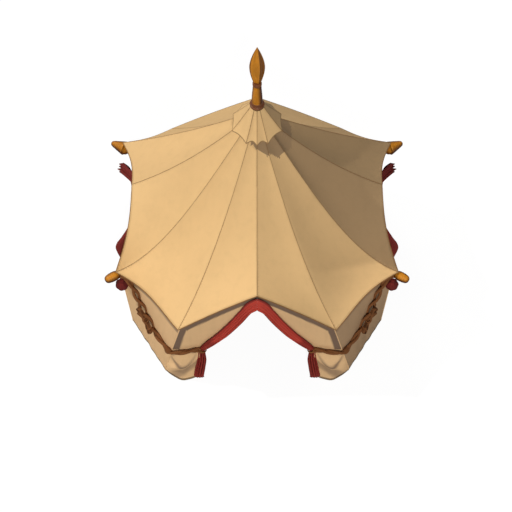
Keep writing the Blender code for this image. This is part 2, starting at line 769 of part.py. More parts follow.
def main():
    clear_scene()
    tent = bpy.data.collections.new("medieval_tent")
    bpy.context.scene.collection.children.link(tent)
    canvas = material("canvas", (0.72, 0.52, 0.28), 0.85)
    wall_canvas = material("wall_canvas", (0.62, 0.44, 0.24), 0.85)
    red_cloth = material("red_cloth", (0.36, 0.035, 0.02), 0.80)
    gold_wood = material("gold_wood", (0.48, 0.21, 0.04), 0.45)
    dark_wood = material("dark_wood", (0.16, 0.055, 0.015), 0.50)
    rope = material("rope", (0.12, 0.045, 0.015), 0.90)

    make_pole(tent, dark_wood)
    make_hub(tent, dark_wood)
    make_hoop(tent, dark_wood)
    make_finial(tent, gold_wood, dark_wood)
    make_crown_cap(tent, canvas)
    make_roof(tent, canvas)
    make_back_wall(tent, wall_canvas)
    make_back_trim(tent, red_cloth)

    front_cloth = (FRONT_CURTAIN, FRONT_DEPTHS, FRONT_FLAP_BULGE, FRONT_FLAP_REACH)
    side_front_cloth = (SIDE_FRONT_CURTAIN, SIDE_DEPTHS, SIDE_FLAP_BULGE, SIDE_FLAP_REACH)
    side_back_cloth = (SIDE_BACK_CURTAIN, SIDE_DEPTHS, SIDE_FLAP_BULGE, SIDE_FLAP_REACH)
    front = Doorway("front", "front_corner", (0, -1, 0), (1, 0, 0), *front_cloth)
    side_front = Doorway("side", "side_front", (1, 0, 0), (0, -1, 0), *side_front_cloth)
    side_back = Doorway("side", "side_back", (1, 0, 0), (0, 1, 0), *side_back_cloth)
    doors = {"front": front, "side_front": side_front, "side_back": side_back}
    for side, word in ((1, "right"), (-1, "left")):
        front_wall = find_panel("front_corner", "side_front")
        back_wall = find_panel("side_back", "back_corner")
        make_corner_wall(f"corner_wall_front_{word}", front_wall, tent, wall_canvas, side)
        make_corner_wall(f"corner_wall_back_{word}", back_wall, tent, wall_canvas, side)
        for place in SPOKE_SEAMS:
            make_spoke(f"spoke_{place}_{word}", place, tent, gold_wood, side)
        for place, door in doors.items():
            make_flap(f"flap_{place}_{word}", door, tent, wall_canvas, side)
            make_curtain(f"curtain_{place}_{word}", door, tent, red_cloth, side)
            make_tie(f"tie_{place}_{word}", door, tent, rope, side)
        make_garland(f"garland_rope_{word}", front, tent, rope, side)
        make_bow(f"rope_bow_{word}", tent, rope, side)


if __name__ == "__main__":
    main()
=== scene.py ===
"""Medieval pavilion tent: cloth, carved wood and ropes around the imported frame.

Metres, +Z up, front towards -Y, with the origin on the ground at the foot of the centre pole.
The right half is described, and the left half is its mirror image in the plane X = 0.
"""

import math
from collections import namedtuple

import bpy
import numpy as np
from bpy.props import FloatProperty, FloatVectorProperty, PointerProperty
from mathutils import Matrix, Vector


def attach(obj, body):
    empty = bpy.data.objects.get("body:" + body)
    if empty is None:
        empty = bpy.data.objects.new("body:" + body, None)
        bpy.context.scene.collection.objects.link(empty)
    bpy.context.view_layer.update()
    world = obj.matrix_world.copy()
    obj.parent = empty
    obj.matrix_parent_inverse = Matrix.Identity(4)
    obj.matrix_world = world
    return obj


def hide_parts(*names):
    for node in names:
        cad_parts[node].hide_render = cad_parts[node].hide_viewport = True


bl_info = {
    "name": "Pavilion Tent",
    "version": (1, 0, 0),
    "blender": (4, 5, 0),
    "location": "View3D > Sidebar > Tent",
    "description": "Cloth, carved wood and ropes of a medieval pavilion tent",
    "category": "Add Mesh",
}

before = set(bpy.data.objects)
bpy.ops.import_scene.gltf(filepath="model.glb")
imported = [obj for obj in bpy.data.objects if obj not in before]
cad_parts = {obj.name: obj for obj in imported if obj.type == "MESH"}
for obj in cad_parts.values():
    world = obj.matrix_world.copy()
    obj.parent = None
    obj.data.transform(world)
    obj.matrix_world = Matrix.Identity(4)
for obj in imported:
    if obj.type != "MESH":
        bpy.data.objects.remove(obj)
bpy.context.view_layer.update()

# Heights above the ground
EAVE = 1.75
ROOF_APEX = EAVE + 3.12
POLE_TOP = EAVE + 3.2925

# Seams of the roof where they end at the eave of the right half. Rise is the height above
# EAVE, sag the hollow of the seam below a straight line to the apex, and skew moves that
# hollow towards the eave.
Seam = namedtuple("Seam", "x y rise sag skew")
SEAMS = {
    "front": Seam(0.0, -2.30, 0.76, 0.55, 0.0),
    "front_corner": Seam(1.42, -2.60, 0.0, 0.62, 0.0),
    "side_front": Seam(2.60, -1.42, 0.0, 0.66, 0.8),
    "side": Seam(2.30, 0.0, 0.76, 0.25, 0.0),
    "side_back": Seam(2.60, 1.42, 0.0, 0.12, 0.0),
    "back_corner": Seam(1.65, 1.75, 0.0, 0.14, 0.0),
    "back": Seam(0.0, 1.95, 0.76, 0.20, 0.0),
}

# Roof panels in anticlockwise order. Bow is how far the eave curves inwards between the
# seams, and ease moves that curve towards the first seam below 1 and the last above it.
Panel = namedtuple("Panel", "first last bow ease")
PANELS = [
    Panel("front", "front_corner", 0.02, 1.0),
    Panel("front_corner", "side_front", 0.105, 1.3),
    Panel("side_front", "side", 0.075, 1.0),
    Panel("side", "side_back", 0.075, 1.0),
    Panel("side_back", "back_corner", 0.06, 1.0),
    Panel("back_corner", "back", -0.02, 1.0),
]
SPOKE_SEAMS = ("side_front", "side_back")

# Feet of the walls on the ground, below the corners of the eave
FEET = {
    "front_corner": np.array((1.745, -2.60, 0.0)),
    "side_front": np.array((2.41, -1.55, 0.0)),
    "side_back": np.array((2.41, 1.55, 0.0)),
    "back_corner": np.array((1.70, 1.86, 0.0)),
}
ROOF_START = 0.055
BILLOW = 0.035
WALL_INSET = 0.965
WALL_DROP = 0.035
NOTCH_TOP = EAVE - 0.175
WALL_NOTCH = 1.0 / 11.0
FLAP_NOTCH = 1.0 / 11.0
EAVE_LAP = 0.027
HEM = 0.10
HEM_SHARE = 5.0 / 6.0
WALL_BELLY = 0.03
WALL_FOLD = 0.009
BACK_FOLD_SHARE = 1.4
TRIM_TOP = 0.05
TRIM_WIDTH = 0.19
CAD_CANVAS = 0.010
RED_CLOTH = 0.004
UP = np.array((0.0, 0.0, 1.0))

# Curtains of one half doorway: distance from the door's centre line, distance out from the
# pole and height above EAVE, from the peak to the tie and on to the foot
DOOR_MIDDLE = 0.003
FRONT_CURTAIN = [
    (DOOR_MIDDLE, 2.27, 0.39), (0.20, 2.30, 0.14), (0.38, 2.35, -0.18), (0.64, 2.42, -0.57),
    (0.87, 2.48, -0.81), (0.97, 2.51, -0.90), (1.02, 2.53, -0.97), (1.03, 2.62, -1.20),
    (1.07, 2.70, -1.45), (1.10, 2.75, -1.65), (1.10, 2.75, -1.75),
]
SIDE_FRONT_CURTAIN = [
    (DOOR_MIDDLE, 2.24, 0.42), (0.22, 2.27, 0.28), (0.45, 2.32, 0.13), (0.66, 2.45, 0.00),
    (0.81, 2.55, -0.12), (0.99, 2.45, -0.45), (1.14, 2.46, -0.87), (1.13, 2.45, -1.10),
    (1.11, 2.44, -1.40), (1.10, 2.44, -1.62), (1.10, 2.44, -1.75),
]
SIDE_BACK_CURTAIN = [
    (DOOR_MIDDLE, 2.24, 0.42), (0.22, 2.27, 0.28), (0.50, 2.34, 0.12), (0.75, 2.49, -0.01),
    (0.94, 2.60, -0.15), (1.09, 2.52, -0.50), (1.18, 2.48, -0.87), (1.16, 2.46, -1.10),
    (1.13, 2.45, -1.40), (1.10, 2.44, -1.62), (1.10, 2.44, -1.75),
]
TIE_STATION = 6
CURTAIN_WIDTHS = (0.21, 0.115, 0.115, 0.115, 0.100, 0.080, 0.052, 0.085, 0.095, 0.095, 0.095)
FRONT_DEPTHS = (0.030, 0.035, 0.040, 0.045, 0.050, 0.048, 0.042, 0.050, 0.050, 0.045, 0.045)
SIDE_DEPTHS = (0.030, 0.035, 0.045, 0.070, 0.095, 0.065, 0.042, 0.050, 0.050, 0.045, 0.045)
TIE_LEVEL = TIE_STATION / (len(CURTAIN_WIDTHS) - 1)
RINGS_PER_STATION = 2
TUCK = -0.20
FLAP_CORNER_SHARE = 0.45
FRONT_FLAP_BULGE = 0.16
SIDE_FLAP_BULGE = 0.01
FRONT_FLAP_REACH = 3.0
SIDE_FLAP_REACH = 2.44
FLAP_HEM = 0.06
FLAP_HEM_SHARES = (0.90, 0.95)
# Depth below the eave of the painted shadow wedge under a flap's corner
CORNER_SHADOW_DEPTH = 0.90

# Frame of wood
POLE_RADIUS = 0.045
POLE_FOOT_RADIUS = 0.11
POLE_FOOT_HEIGHT = 0.04
POLE_HEAD_RADIUS = 0.10
POLE_HEAD_BASE = EAVE + 2.70
POLE_CONE_TOP = EAVE + 2.98
SPOKE_HEIGHT = EAVE - 0.095
SPOKE_RADIUS = 0.042
HORN_START = 2.90
HORN_GROOVE = 0.0028
# Carved horns of the spokes: radius and distance from the pole, from the tip to the root, and
# how far the root and the tip hang below the spoke
HORNS = {
    "side_front": [
        (0.004, 3.19), (0.032, 3.187), (0.056, 3.172), (0.074, 3.145), (0.088, 3.09), (0.092, 3.02),
        (0.088, 2.97), (0.074, 2.93),
    ],
    "side_back": [
        (0.004, 3.24), (0.028, 3.237), (0.047, 3.222), (0.066, 3.18), (0.092, 3.10), (0.120, 3.01),
        (0.138, 2.945), (0.110, 2.915),
    ],
}
HORN_DROOPS = {"side_front": (0.014, 0.020), "side_back": (0.078, 0.030)}
HUB_RADIUS = 0.17
HUB_HALF_HEIGHT = 0.075
HOOP_RADIUS = 0.018
HOOP_INSET = 0.925
HOOP_DROP = 0.175
HOOP_STEPS = 14

# Finial and crown cap, with the clearance between two solids of the frame
CLEARANCE = 0.0005
COLLAR_BASE = POLE_TOP + CLEARANCE
COLLAR_TOP = EAVE + 3.41
COLLAR_RADIUS = 0.126
SHAFT_TOP = EAVE + 3.86
SHAFT_TOP_RADIUS = 0.073
SHAFT_FOOT_RADIUS = 0.090
RING_TOP = EAVE + 3.93
RING_RADIUS = 0.078
LEAF_TIP = EAVE + 4.87
LEAF_HALF_WIDTH = 0.127
LEAF_BASE_SHARE = 0.50
LEAF_SWERVE = 0.042
LEAF_HALF_DEPTH = 0.060
LEAF_WIDEST = 0.45
LEAF_FULLNESS = 0.92
CAP_TOP = EAVE + 3.2845
CAP_RIM = EAVE + 2.75
CAP_SCALLOP = 0.04
CAP_TIP_RADIUS = 0.455
CAP_VALLEY_RADIUS = 0.424
CAP_HOLE_RADIUS = 0.052
CAP_SHOULDER_RADIUS = 0.120
CAP_SHOULDER = 0.12
CAP_CANVAS = 0.006
# Directions of the points of the cap's rim, in degrees from the right anticlockwise
CAP_TURNS = (-90, -66, -20, 25, 57, 90, 123, 155, 200, 246, 270)
CAP_POINTS = len(CAP_TURNS) - 1

# Ropes. The garland's stations are shares of the corner wall's width from the front corner,
# and heights above EAVE.
ROPE_RADIUS = 0.034
ROPE_STANDOFF = 0.046
GARLAND = [
    (0.87, -0.14), (0.80, -0.27), (0.73, -0.43), (0.62, -0.61), (0.50, -0.74), (0.35, -0.87),
    (0.17, -0.92), (0.02, -0.935),
]
BOW_STATION = 4
KNOT_STATION = 7
BOW_HALF_LENGTH = 0.30
BULGE_START = FLAP_CORNER_SHARE + (1.0 - FLAP_CORNER_SHARE) * 0.42
KNOT_LEVEL = FLAP_CORNER_SHARE + (1.0 - FLAP_CORNER_SHARE) * 0.53
GARLAND_ON_FLAP = (0.97, 0.70, 0.40, 0.16)
TIE_RADIUS = 0.012
TIE_GAP = 0.010
KNOT_PLACE = (2.505, -1.50, 1.42)

# Radii of the cords sewn to the cloth and tied round the rail
SEAM_CORD = 0.0036
EAVE_CORD = 0.0090
CAP_CORD = 0.0050
CORNER_CORD = 0.010
STITCH_THICKNESS = 0.0030
LASHING_CORD = 0.004
LASHING_SPACING = 0.34

# The garland's two ropes: the length of one turn round each other, and how far each runs from
# the middle at its ends and at most
GARLAND_TURN = 0.62
GARLAND_NEAR = 0.020
GARLAND_FAR = 0.050
BOW_STRAP = 0.033
# Loops of a bow: share of its half length, width, lift off the wall and bend to one side
BOW_LOOPS = (
    (0.90, 0.110, 0.030, 0.030),
    (-0.90, 0.110, 0.030, -0.020),
    (0.60, 0.075, 0.045, -0.075),
    (-0.60, 0.075, 0.045, 0.080),
)
BOW_TAILS = ((0.26, 0.110), (-0.20, 0.120), (0.16, -0.130))

# Fineness of the meshes
PANEL_COLUMNS = 12
WALL_ROWS = 48
WALL_COLUMNS = 30
FLAP_ROWS = 112
FLAP_COLUMNS = 26
CURTAIN_STEPS = 12
CURTAIN_COLUMNS = 56
CAP_ROWS = 16
CAP_GORE_COLUMNS = 8
TURNED_STEPS = 48
LEAF_ROWS = 52
LEAF_TIP_ROWS = 13

# Camera and light, set to the photograph's angle
CAMERA_PLACE = (-0.0185, -12.88, 23.40)
CAMERA_TARGET = (-0.0185, -1.080, 1.75)
CAMERA_LENS = 93.68
# Name, direction that the light comes from, strength as a share of pi, and softness
LIGHTS = (
    ("key_light", (-0.66, 0.24, 0.71), 0.53, 0.03),
    ("fill_light", (0.04, -0.74, 0.67), 0.59, 0.05),
    ("back_light", (-0.25, 0.72, 0.65), 0.20, 0.30),
)
LIGHT_COLOUR = (1.0, 0.97, 0.92)
SKY_COLOUR = (0.90, 0.95, 1.05, 1.0)
SKY_STRENGTH = 0.22
WHITE = (1.0, 1.0, 1.0, 1.0)
FLOOR_REACH = 60.0
FLOOR_HEIGHT = -0.002
FLOOR_BOUNCE = 0.45

# Painted shade on carved and turned pieces: the direction of their lit side, and how squarely
# a surface faces it where the painted shade is full and where it ends
COLLAR_SUN = ((-0.25, -0.35, 0.90), -0.3, 0.5)
SHAFT_SUN = ((-0.35, -0.94, 0.0), 0.30, 1.15)
HORN_SUN = ((0.0, -0.30, 0.95), 0.38, 1.10)
KNOT_SUN = ((-0.25, -0.35, 0.90), 0.7, 1.7)

# Painted shade on some gores, listed round the right half and the left half: the gores on
# the right, which face away from the light, are painted darker
GORE_PAINTED_SHADE = {1: (0.0, 0.14, 0.68, 0.57, 0.38, 0.10), -1: (0.0, 0.0, 0.0, 0.0, 0.0, 0.0)}
# Painted shadow of the cap on the roof, in the cap's own shape: how far it lies beside the
# pole, from what height up and its shade
CAP_SHADOW_SHIFT = (0.178, 0.055)
CAP_SHADOW_FROM = EAVE + 1.0
CAP_SHADOW_SHADE = 0.78
# Painted shade on the cap's right gores: from and to which direction in degrees, and its strength
CAP_PAINTED_SHADE = (-20.0, 75.0, 0.42)
# Even painted shade on the corner walls of the right and the left half
WALL_PAINTED_SHADE = {1: 0.60, -1: 0.10}
# How far each gore's cloth lies from the next in its UVs
GORE_SHIFT = 1.37
CAP_GORE_SHIFT = 0.31


def unit(vectors):
    """Return vectors scaled to length 1."""
    vectors = np.asarray(vectors, float)
    return vectors / np.maximum(np.linalg.norm(vectors, axis=-1, keepdims=True), 1e-9)


def smoothstep(values):
    """Return values clipped to 0 and 1 with soft ends."""
    values = np.clip(values, 0.0, 1.0)
    return values * values * (3.0 - 2.0 * values)


def bump(values, middle, width):
    """Return 1 where values are at a middle, falling softly to 0 about two widths away."""
    return np.exp(-(((values - middle) / width) ** 2))


def arch(share):
    """Return 0 where a share is 0 or 1, and up to 1 between."""
    return 4.0 * share * (1.0 - share)


def lerp(first, last, share):
    """Return points between two arrays of points."""
    share = np.asarray(share, float)[..., None]
    return first + (last - first) * share


def smooth_path(points, steps):
    """Return points on a smooth curve through a list of points, with steps to each stretch."""
    points = np.asarray(points, float)
    padded = np.vstack([points[:1], points, points[-1:]])
    t = (np.arange(steps) / steps)[:, None]
    stretches = []
    for before, start, end, after in zip(padded, padded[1:], padded[2:], padded[3:]):
        stretches.append(
            start
            + (end - before) * (0.5 * t)
            + (before * 2.0 - start * 5.0 + end * 4.0 - after) * (0.5 * t * t)
            + (start * 3.0 - before - end * 3.0 + after) * (0.5 * t**3)
        )
    return np.vstack([*stretches, points[-1:]])


def run_along(points):
    """Return how far along a path each of its points lies."""
    return np.concatenate([[0.0], np.cumsum(np.linalg.norm(np.diff(points, axis=0), axis=1))])


def interpolated(places, known, points):
    """Return the points at some places on a path, from the points at known places."""
    return np.stack([np.interp(places, known, points[:, axis]) for axis in range(3)], axis=-1)


def resampled(points, spacing, closed=False):
    """Return the points of a path set at even distances."""
    points = np.asarray(points, float)
    if closed:
        points = np.vstack([points, points[:1]])
    run = run_along(points)
    count = max(4, int(round(run[-1] / spacing)))
    placed = interpolated(np.linspace(0.0, run[-1], count + 1), run, points)
    return placed[:-1] if closed else placed


def along_path(points, closed=False):
    """Return unit directions along a path, and two unit sides that turn as little as can be."""
    if closed:
        ahead = unit(np.roll(points, -1, axis=0) - np.roll(points, 1, axis=0))
    else:
        ahead = unit(np.gradient(points, axis=0))
    start = np.cross(ahead[0], UP if abs(ahead[0][2]) < 0.9 else (1.0, 0.0, 0.0))
    sides = [unit(start)]
    for direction in ahead[1:]:
        sides.append(unit(sides[-1] - direction * (sides[-1] @ direction)))
    first_side = np.array(sides)
    return ahead, first_side, np.cross(ahead, first_side)


def eave_values(panel, v):
    """Return x, y, rise, sag and skew on a panel's eave, v from 0 to 1 between its seams."""
    v = np.asarray(v, float)[..., None]
    first = np.array(SEAMS[panel.first])
    last = np.array(SEAMS[panel.last])
    values = first + (last - first) * v
    across = last[:2] - first[:2]
    inward = np.array((-across[1], across[0])) / np.hypot(*across)
    values[..., :2] += inward * (panel.bow * np.sin(np.pi * v**panel.ease))
    return values


def roof_point(panel, t, v):
    """Return points of a roof panel's inner face, t from 0 at the apex to 1 at the eave."""
    values = eave_values(panel, v)
    rise, sag, skew = values[..., 2], values[..., 3], values[..., 4]
    hollow = arch(t) * (sag * (1.0 + skew * (t - 0.5)) + BILLOW * np.sin(np.pi * np.asarray(v)))
    height = ROOF_APEX + (EAVE + rise - ROOF_APEX) * t - hollow
    return np.stack([values[..., 0] * t, values[..., 1] * t, height], axis=-1)


def under_eave(panel, v, notch):
    """Return the top of a wall below the eave, dipping below a spoke over a notch's width."""
    v = np.asarray(v, float)
    top = roof_point(panel, WALL_INSET, v) - UP * WALL_DROP
    for corner, near, far in ((panel.first, v, notch), (panel.last, 1.0 - v, 1.0 - notch)):
        if corner in SPOKE_SEAMS:
            shoulder = roof_point(panel, WALL_INSET, np.array(far))[2] - WALL_DROP
            dip = NOTCH_TOP + (shoulder - NOTCH_TOP) * np.minimum(near / notch, 1.0)
            top[..., 2] = np.where(near < notch, dip, top[..., 2])
    return top


def find_panel(first, last):
    """Return the roof panel between two named seams."""
    return next(panel for panel in PANELS if (panel.first, panel.last) == (first, last))


def mirrored(grid, side):
    """Return a grid of points for side 1, or mirrored for side -1 with its columns reversed."""
    return grid if side > 0 else grid[:, ::-1] * (-1.0, 1.0, 1.0)


def flipped(path, side):
    """Return a path for side 1, or mirrored for side -1."""
    return np.asarray(path) * (side, 1.0, 1.0)


class MeshParts:
    """Vertices, faces and UVs of a piece, gathered from several parts."""

    def __init__(self):
        self.points = []
        self.faces = []
        self.uvs = []
        self.count = 0

    def add(self, points, faces, uvs):
        """Add one part, its UVs listed corner by corner."""
        points = np.asarray(points, float).reshape(-1, 3)
        self.points.append(points)
        self.faces += [[corner + self.count for corner in face] for face in faces]
        self.uvs.append(np.asarray(uvs, float).reshape(-1, 2))
        self.count += len(points)

    def build(self, name, material, degrees=40):
        """Write the parts into one named object."""
        return new_piece(
            name, np.vstack(self.points), self.faces, np.vstack(self.uvs), material, degrees
        )


def new_piece(name, points, faces, uvs, material, degrees=40):
    """Make a mesh object at the origin with a UV map and one material."""
    mesh = bpy.data.meshes.new(name)
    mesh.from_pydata(np.asarray(points).tolist(), [], faces)
    layer = mesh.uv_layers.new(name="Cloth")
    layer.data.foreach_set("uv", np.asarray(uvs, np.float32).ravel())
    mesh.materials.append(material)
    mesh.shade_smooth()
    mesh.set_sharp_from_angle(angle=math.radians(degrees))
    mesh.update()
    made = bpy.data.objects.new(name, mesh)
    bpy.context.scene.collection.objects.link(made)
    return made


def mark(piece, name, values, domain="POINT"):
    """Give each point or face of a piece a number that its material reads."""
    layer = piece.data.attributes.new(name, "FLOAT", domain)
    layer.data.foreach_set("value", np.asarray(values, np.float32))


def mark_faces(piece, shade_at):
    """Give each face of a piece the painted shade of its place."""
    mark(piece, "shade", [shade_at(face.center) for face in piece.data.polygons], "FACE")


def paint_shade_away(piece, towards, low, high):
    """Paint shade on a piece where it faces away from a direction."""
    normals = np.empty(len(piece.data.vertices) * 3, np.float32)
    piece.data.vertices.foreach_get("normal", normals)
    facing = normals.reshape(-1, 3) @ unit(towards)
    mark(piece, "shade", 1.0 - smoothstep((facing - low) / (high - low)))


def shell(name, inner, thickness, material, uv, uv_next=None, wrap=False, marks=None):
    """Make a closed sheet of cloth from a grid of inner points, rows down and columns anticlockwise.

    UVs are in metres. The right corners of each face take theirs from uv_next, if given.
    Marks are named numbers at each point of the grid, for the materials.
    """
    rows, columns = inner.shape[:2]
    down = np.gradient(inner, axis=0)
    if wrap:
        along = np.roll(inner, -1, axis=1) - np.roll(inner, 1, axis=1)
    else:
        along = np.gradient(inner, axis=1)
    outer = inner + unit(np.cross(down, along)) * thickness
    index = np.arange(rows * columns).reshape(rows, columns)
    ends = columns if wrap else columns - 1
    left, right = index[:, :ends], np.roll(index, -1, axis=1)[:, :ends]
    uv_left = uv[:, :ends]
    uv_right = np.roll(uv, -1, axis=1)[:, :ends] if uv_next is None else uv_next[:, :ends]
    count = rows * columns
    front = np.stack([left[:-1], left[1:], right[1:], right[:-1]], axis=-1).reshape(-1, 4)
    corners = [uv_left[:-1], uv_left[1:], uv_right[1:], uv_right[:-1]]
    front_uv = np.stack(corners, axis=-2).reshape(-1, 4, 2)
    starts = [right[0], left[-1]]
    stops = [left[0], right[-1]]
    if not wrap:
        starts += [index[:-1, 0], index[1:, -1]]
        stops += [index[1:, 0], index[:-1, -1]]
    start, stop = np.concatenate(starts), np.concatenate(stops)
    rim = np.stack([stop, start, start + count, stop + count], axis=-1)
    rim_uv = uv.reshape(-1, 2)[rim % count]
    faces = np.vstack([front, front[:, ::-1] + count, rim])
    uvs = np.vstack([front_uv, front_uv[:, ::-1], rim_uv])
    points = np.vstack([outer.reshape(-1, 3), inner.reshape(-1, 3)])
    made = new_piece(name, points, faces.tolist(), uvs, material)
    for label, values in (marks or {}).items():
        mark(made, label, np.tile(np.broadcast_to(values, (rows, columns)).ravel(), 2))
    return made


def column_runs(grid):
    """Return how far down its own column each point of a grid lies."""
    steps = np.linalg.norm(np.diff(grid, axis=0), axis=-1)
    return np.concatenate([np.zeros((1, grid.shape[1])), np.cumsum(steps, axis=0)])


def mean_run(grid):
    """Return how far down a grid each of its rows lies, as the mean of its columns."""
    steps = np.linalg.norm(np.diff(grid, axis=0), axis=-1).mean(axis=1)
    return np.concatenate([[0.0], np.cumsum(steps)])


def grid_uv(grid):
    """Return UVs in metres for a grid of points, from the run of its columns and rows."""
    rows, columns = grid.shape[:2]
    down = mean_run(grid)
    along = column_runs(grid.transpose(1, 0, 2)).T
    along = along - along[:, columns // 2][:, None]
    return np.stack([along, np.broadcast_to(down[:, None], (rows, columns))], axis=-1)


def sweep(parts, path, radius, sides=10, closed=False, flat=1.0):
    """Add a tube along a path, its radius a number or one for each point, flat below 1 for a strap."""
    path = np.asarray(path, float)
    _, across, over = along_path(path, closed)
    radius = np.broadcast_to(np.asarray(radius, float), len(path))[:, None, None]
    turn = np.arange(sides) / sides * math.tau
    ring = across[:, None] * np.cos(turn)[:, None] + over[:, None] * (np.sin(turn) * flat)[:, None]
    points = path[:, None] + ring * radius
    index = np.arange(len(path) * sides).reshape(len(path), sides)
    last = len(path) if closed else len(path) - 1
    here, following = index[:last], np.roll(index, -1, axis=0)[:last]
    corners = [here, np.roll(here, -1, axis=1), np.roll(following, -1, axis=1), following]
    faces = np.stack(corners, axis=-1).reshape(-1, 4).tolist()
    place = run_along(np.vstack([path, path[:1]]))[: last + 1]
    mean_radius = float(radius.mean())
    uvs = strip_uvs(place, sides, math.tau * mean_radius / sides, ((0, 0), (1, 0), (1, 1), (0, 1)))
    if not closed:
        faces += [index[0][::-1].tolist(), index[-1].tolist()]
        flat_end = np.stack([np.cos(turn), np.sin(turn)], axis=-1) * mean_radius
        uvs = np.vstack([uvs, flat_end[::-1], flat_end])
    parts.add(points, faces, uvs)


def strip_uvs(heights, steps, girth, corners):
    """Return UVs for the faces between rings, each corner given as steps round and rings along."""
    low, around = np.meshgrid(np.arange(len(heights) - 1), np.arange(steps), indexing="ij")
    placed = [np.stack([(around + u) * girth, heights[low + v]], axis=-1) for u, v in corners]
    return np.stack(placed, axis=-2).reshape(-1, 2)


def twist(parts, path, radius, strands=3, pitch=0.10, closed=False, sides=7):
    """Add a laid rope along a path, as strands that wind round each other."""
    path = resampled(path, pitch / 9.0, closed)
    _, across, over = along_path(path, closed)
    if closed:
        length = run_along(np.vstack([path, path[:1]]))[-1]
        turns = max(1, round(length / pitch)) * np.arange(len(path)) / len(path)
    else:
        turns = run_along(path) / pitch
    for strand in range(strands):
        angle = (turns + strand / strands) * math.tau
        offset = across * np.cos(angle)[:, None] + over * np.sin(angle)[:, None]
        sweep(parts, path + offset * radius * 0.5, radius * 0.54, sides, closed)


def add_rings(parts, points, heights, girth, first_end, last_end):
    """Add a solid from rings of points, listed from the top down, with flat ends.

    Heights are the rings' places down its UVs, and the ends' UVs are rounds of the given radii.
    """
    rows, steps = points.shape[:2]
    index = np.arange(rows * steps).reshape(rows, steps)
    right = np.roll(index, -1, axis=1)
    quads = np.stack([index[:-1], index[1:], right[1:], right[:-1]], axis=-1).reshape(-1, 4)
    uvs = strip_uvs(heights, steps, girth, ((0, 0), (0, 1), (1, 1), (1, 0)))
    turn = np.arange(steps) / steps * math.tau
    ends = np.stack([np.cos(turn), np.sin(turn)], axis=-1)
    faces = quads.tolist() + [index[0].tolist(), index[-1][::-1].tolist()]
    parts.add(points, faces, np.vstack([uvs, ends * first_end, ends[::-1] * last_end]))


def turned(parts, profile, steps=TURNED_STEPS, place=None):
    """Add a solid turned from (radius, height) pairs, listed from the top down.

    Place maps an array of points about the Z axis to where the solid stands.
    """
    profile = np.asarray(profile, float)
    turn = np.arange(steps) / steps * math.tau
    radius, height = profile[:, :1], profile[:, 1:]
    round_x, round_y = radius * np.cos(turn), radius * np.sin(turn)
    points = np.stack([round_x, round_y, np.broadcast_to(height, round_x.shape)], axis=-1)
    if place:
        points = place(points)
    girth = math.tau * radius.max() / steps
    add_rings(parts, points, run_along(profile), girth, radius[0, 0], radius[-1, 0])


def rounded(profile, steps=5):
    """Return a turned profile with its corners drawn out into a smooth curve."""
    padded = [(radius, 0.0, height) for radius, height in profile]
    smooth = smooth_path(padded, steps)
    return np.stack([np.maximum(smooth[:, 0], 0.0005), smooth[:, 2]], axis=-1)


def finish_piece(piece, slot, *nodes):
    """Fix a piece to the tent and hide the CAD nodes it stands for; the slot is not used."""
    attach(piece, "root")
    if nodes:
        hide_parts(*nodes)
    return piece


def turned_piece(name, profile, slot, node, degrees=40):
    """Make a turned piece that stands for a node."""
    parts = MeshParts()
    turned(parts, profile)
    return finish_piece(parts.build(name, finish(slot.replace("_", " ")), degrees), slot, node)


def swept_piece(name, path, radius, sides, slot, material, *nodes):
    """Make a closed round of cord or wood."""
    parts = MeshParts()
    sweep(parts, path, radius, sides, True)
    return finish_piece(parts.build(name, finish(material)), slot, *nodes)


def hang(node, grid, thickness, material, marks):
    """Make a sheet of cloth that stands for a node."""
    piece = shell(f"{node}_cloth", grid, thickness, finish(material), grid_uv(grid), marks=marks)
    finish_piece(piece, material.replace(" ", "_"), node)


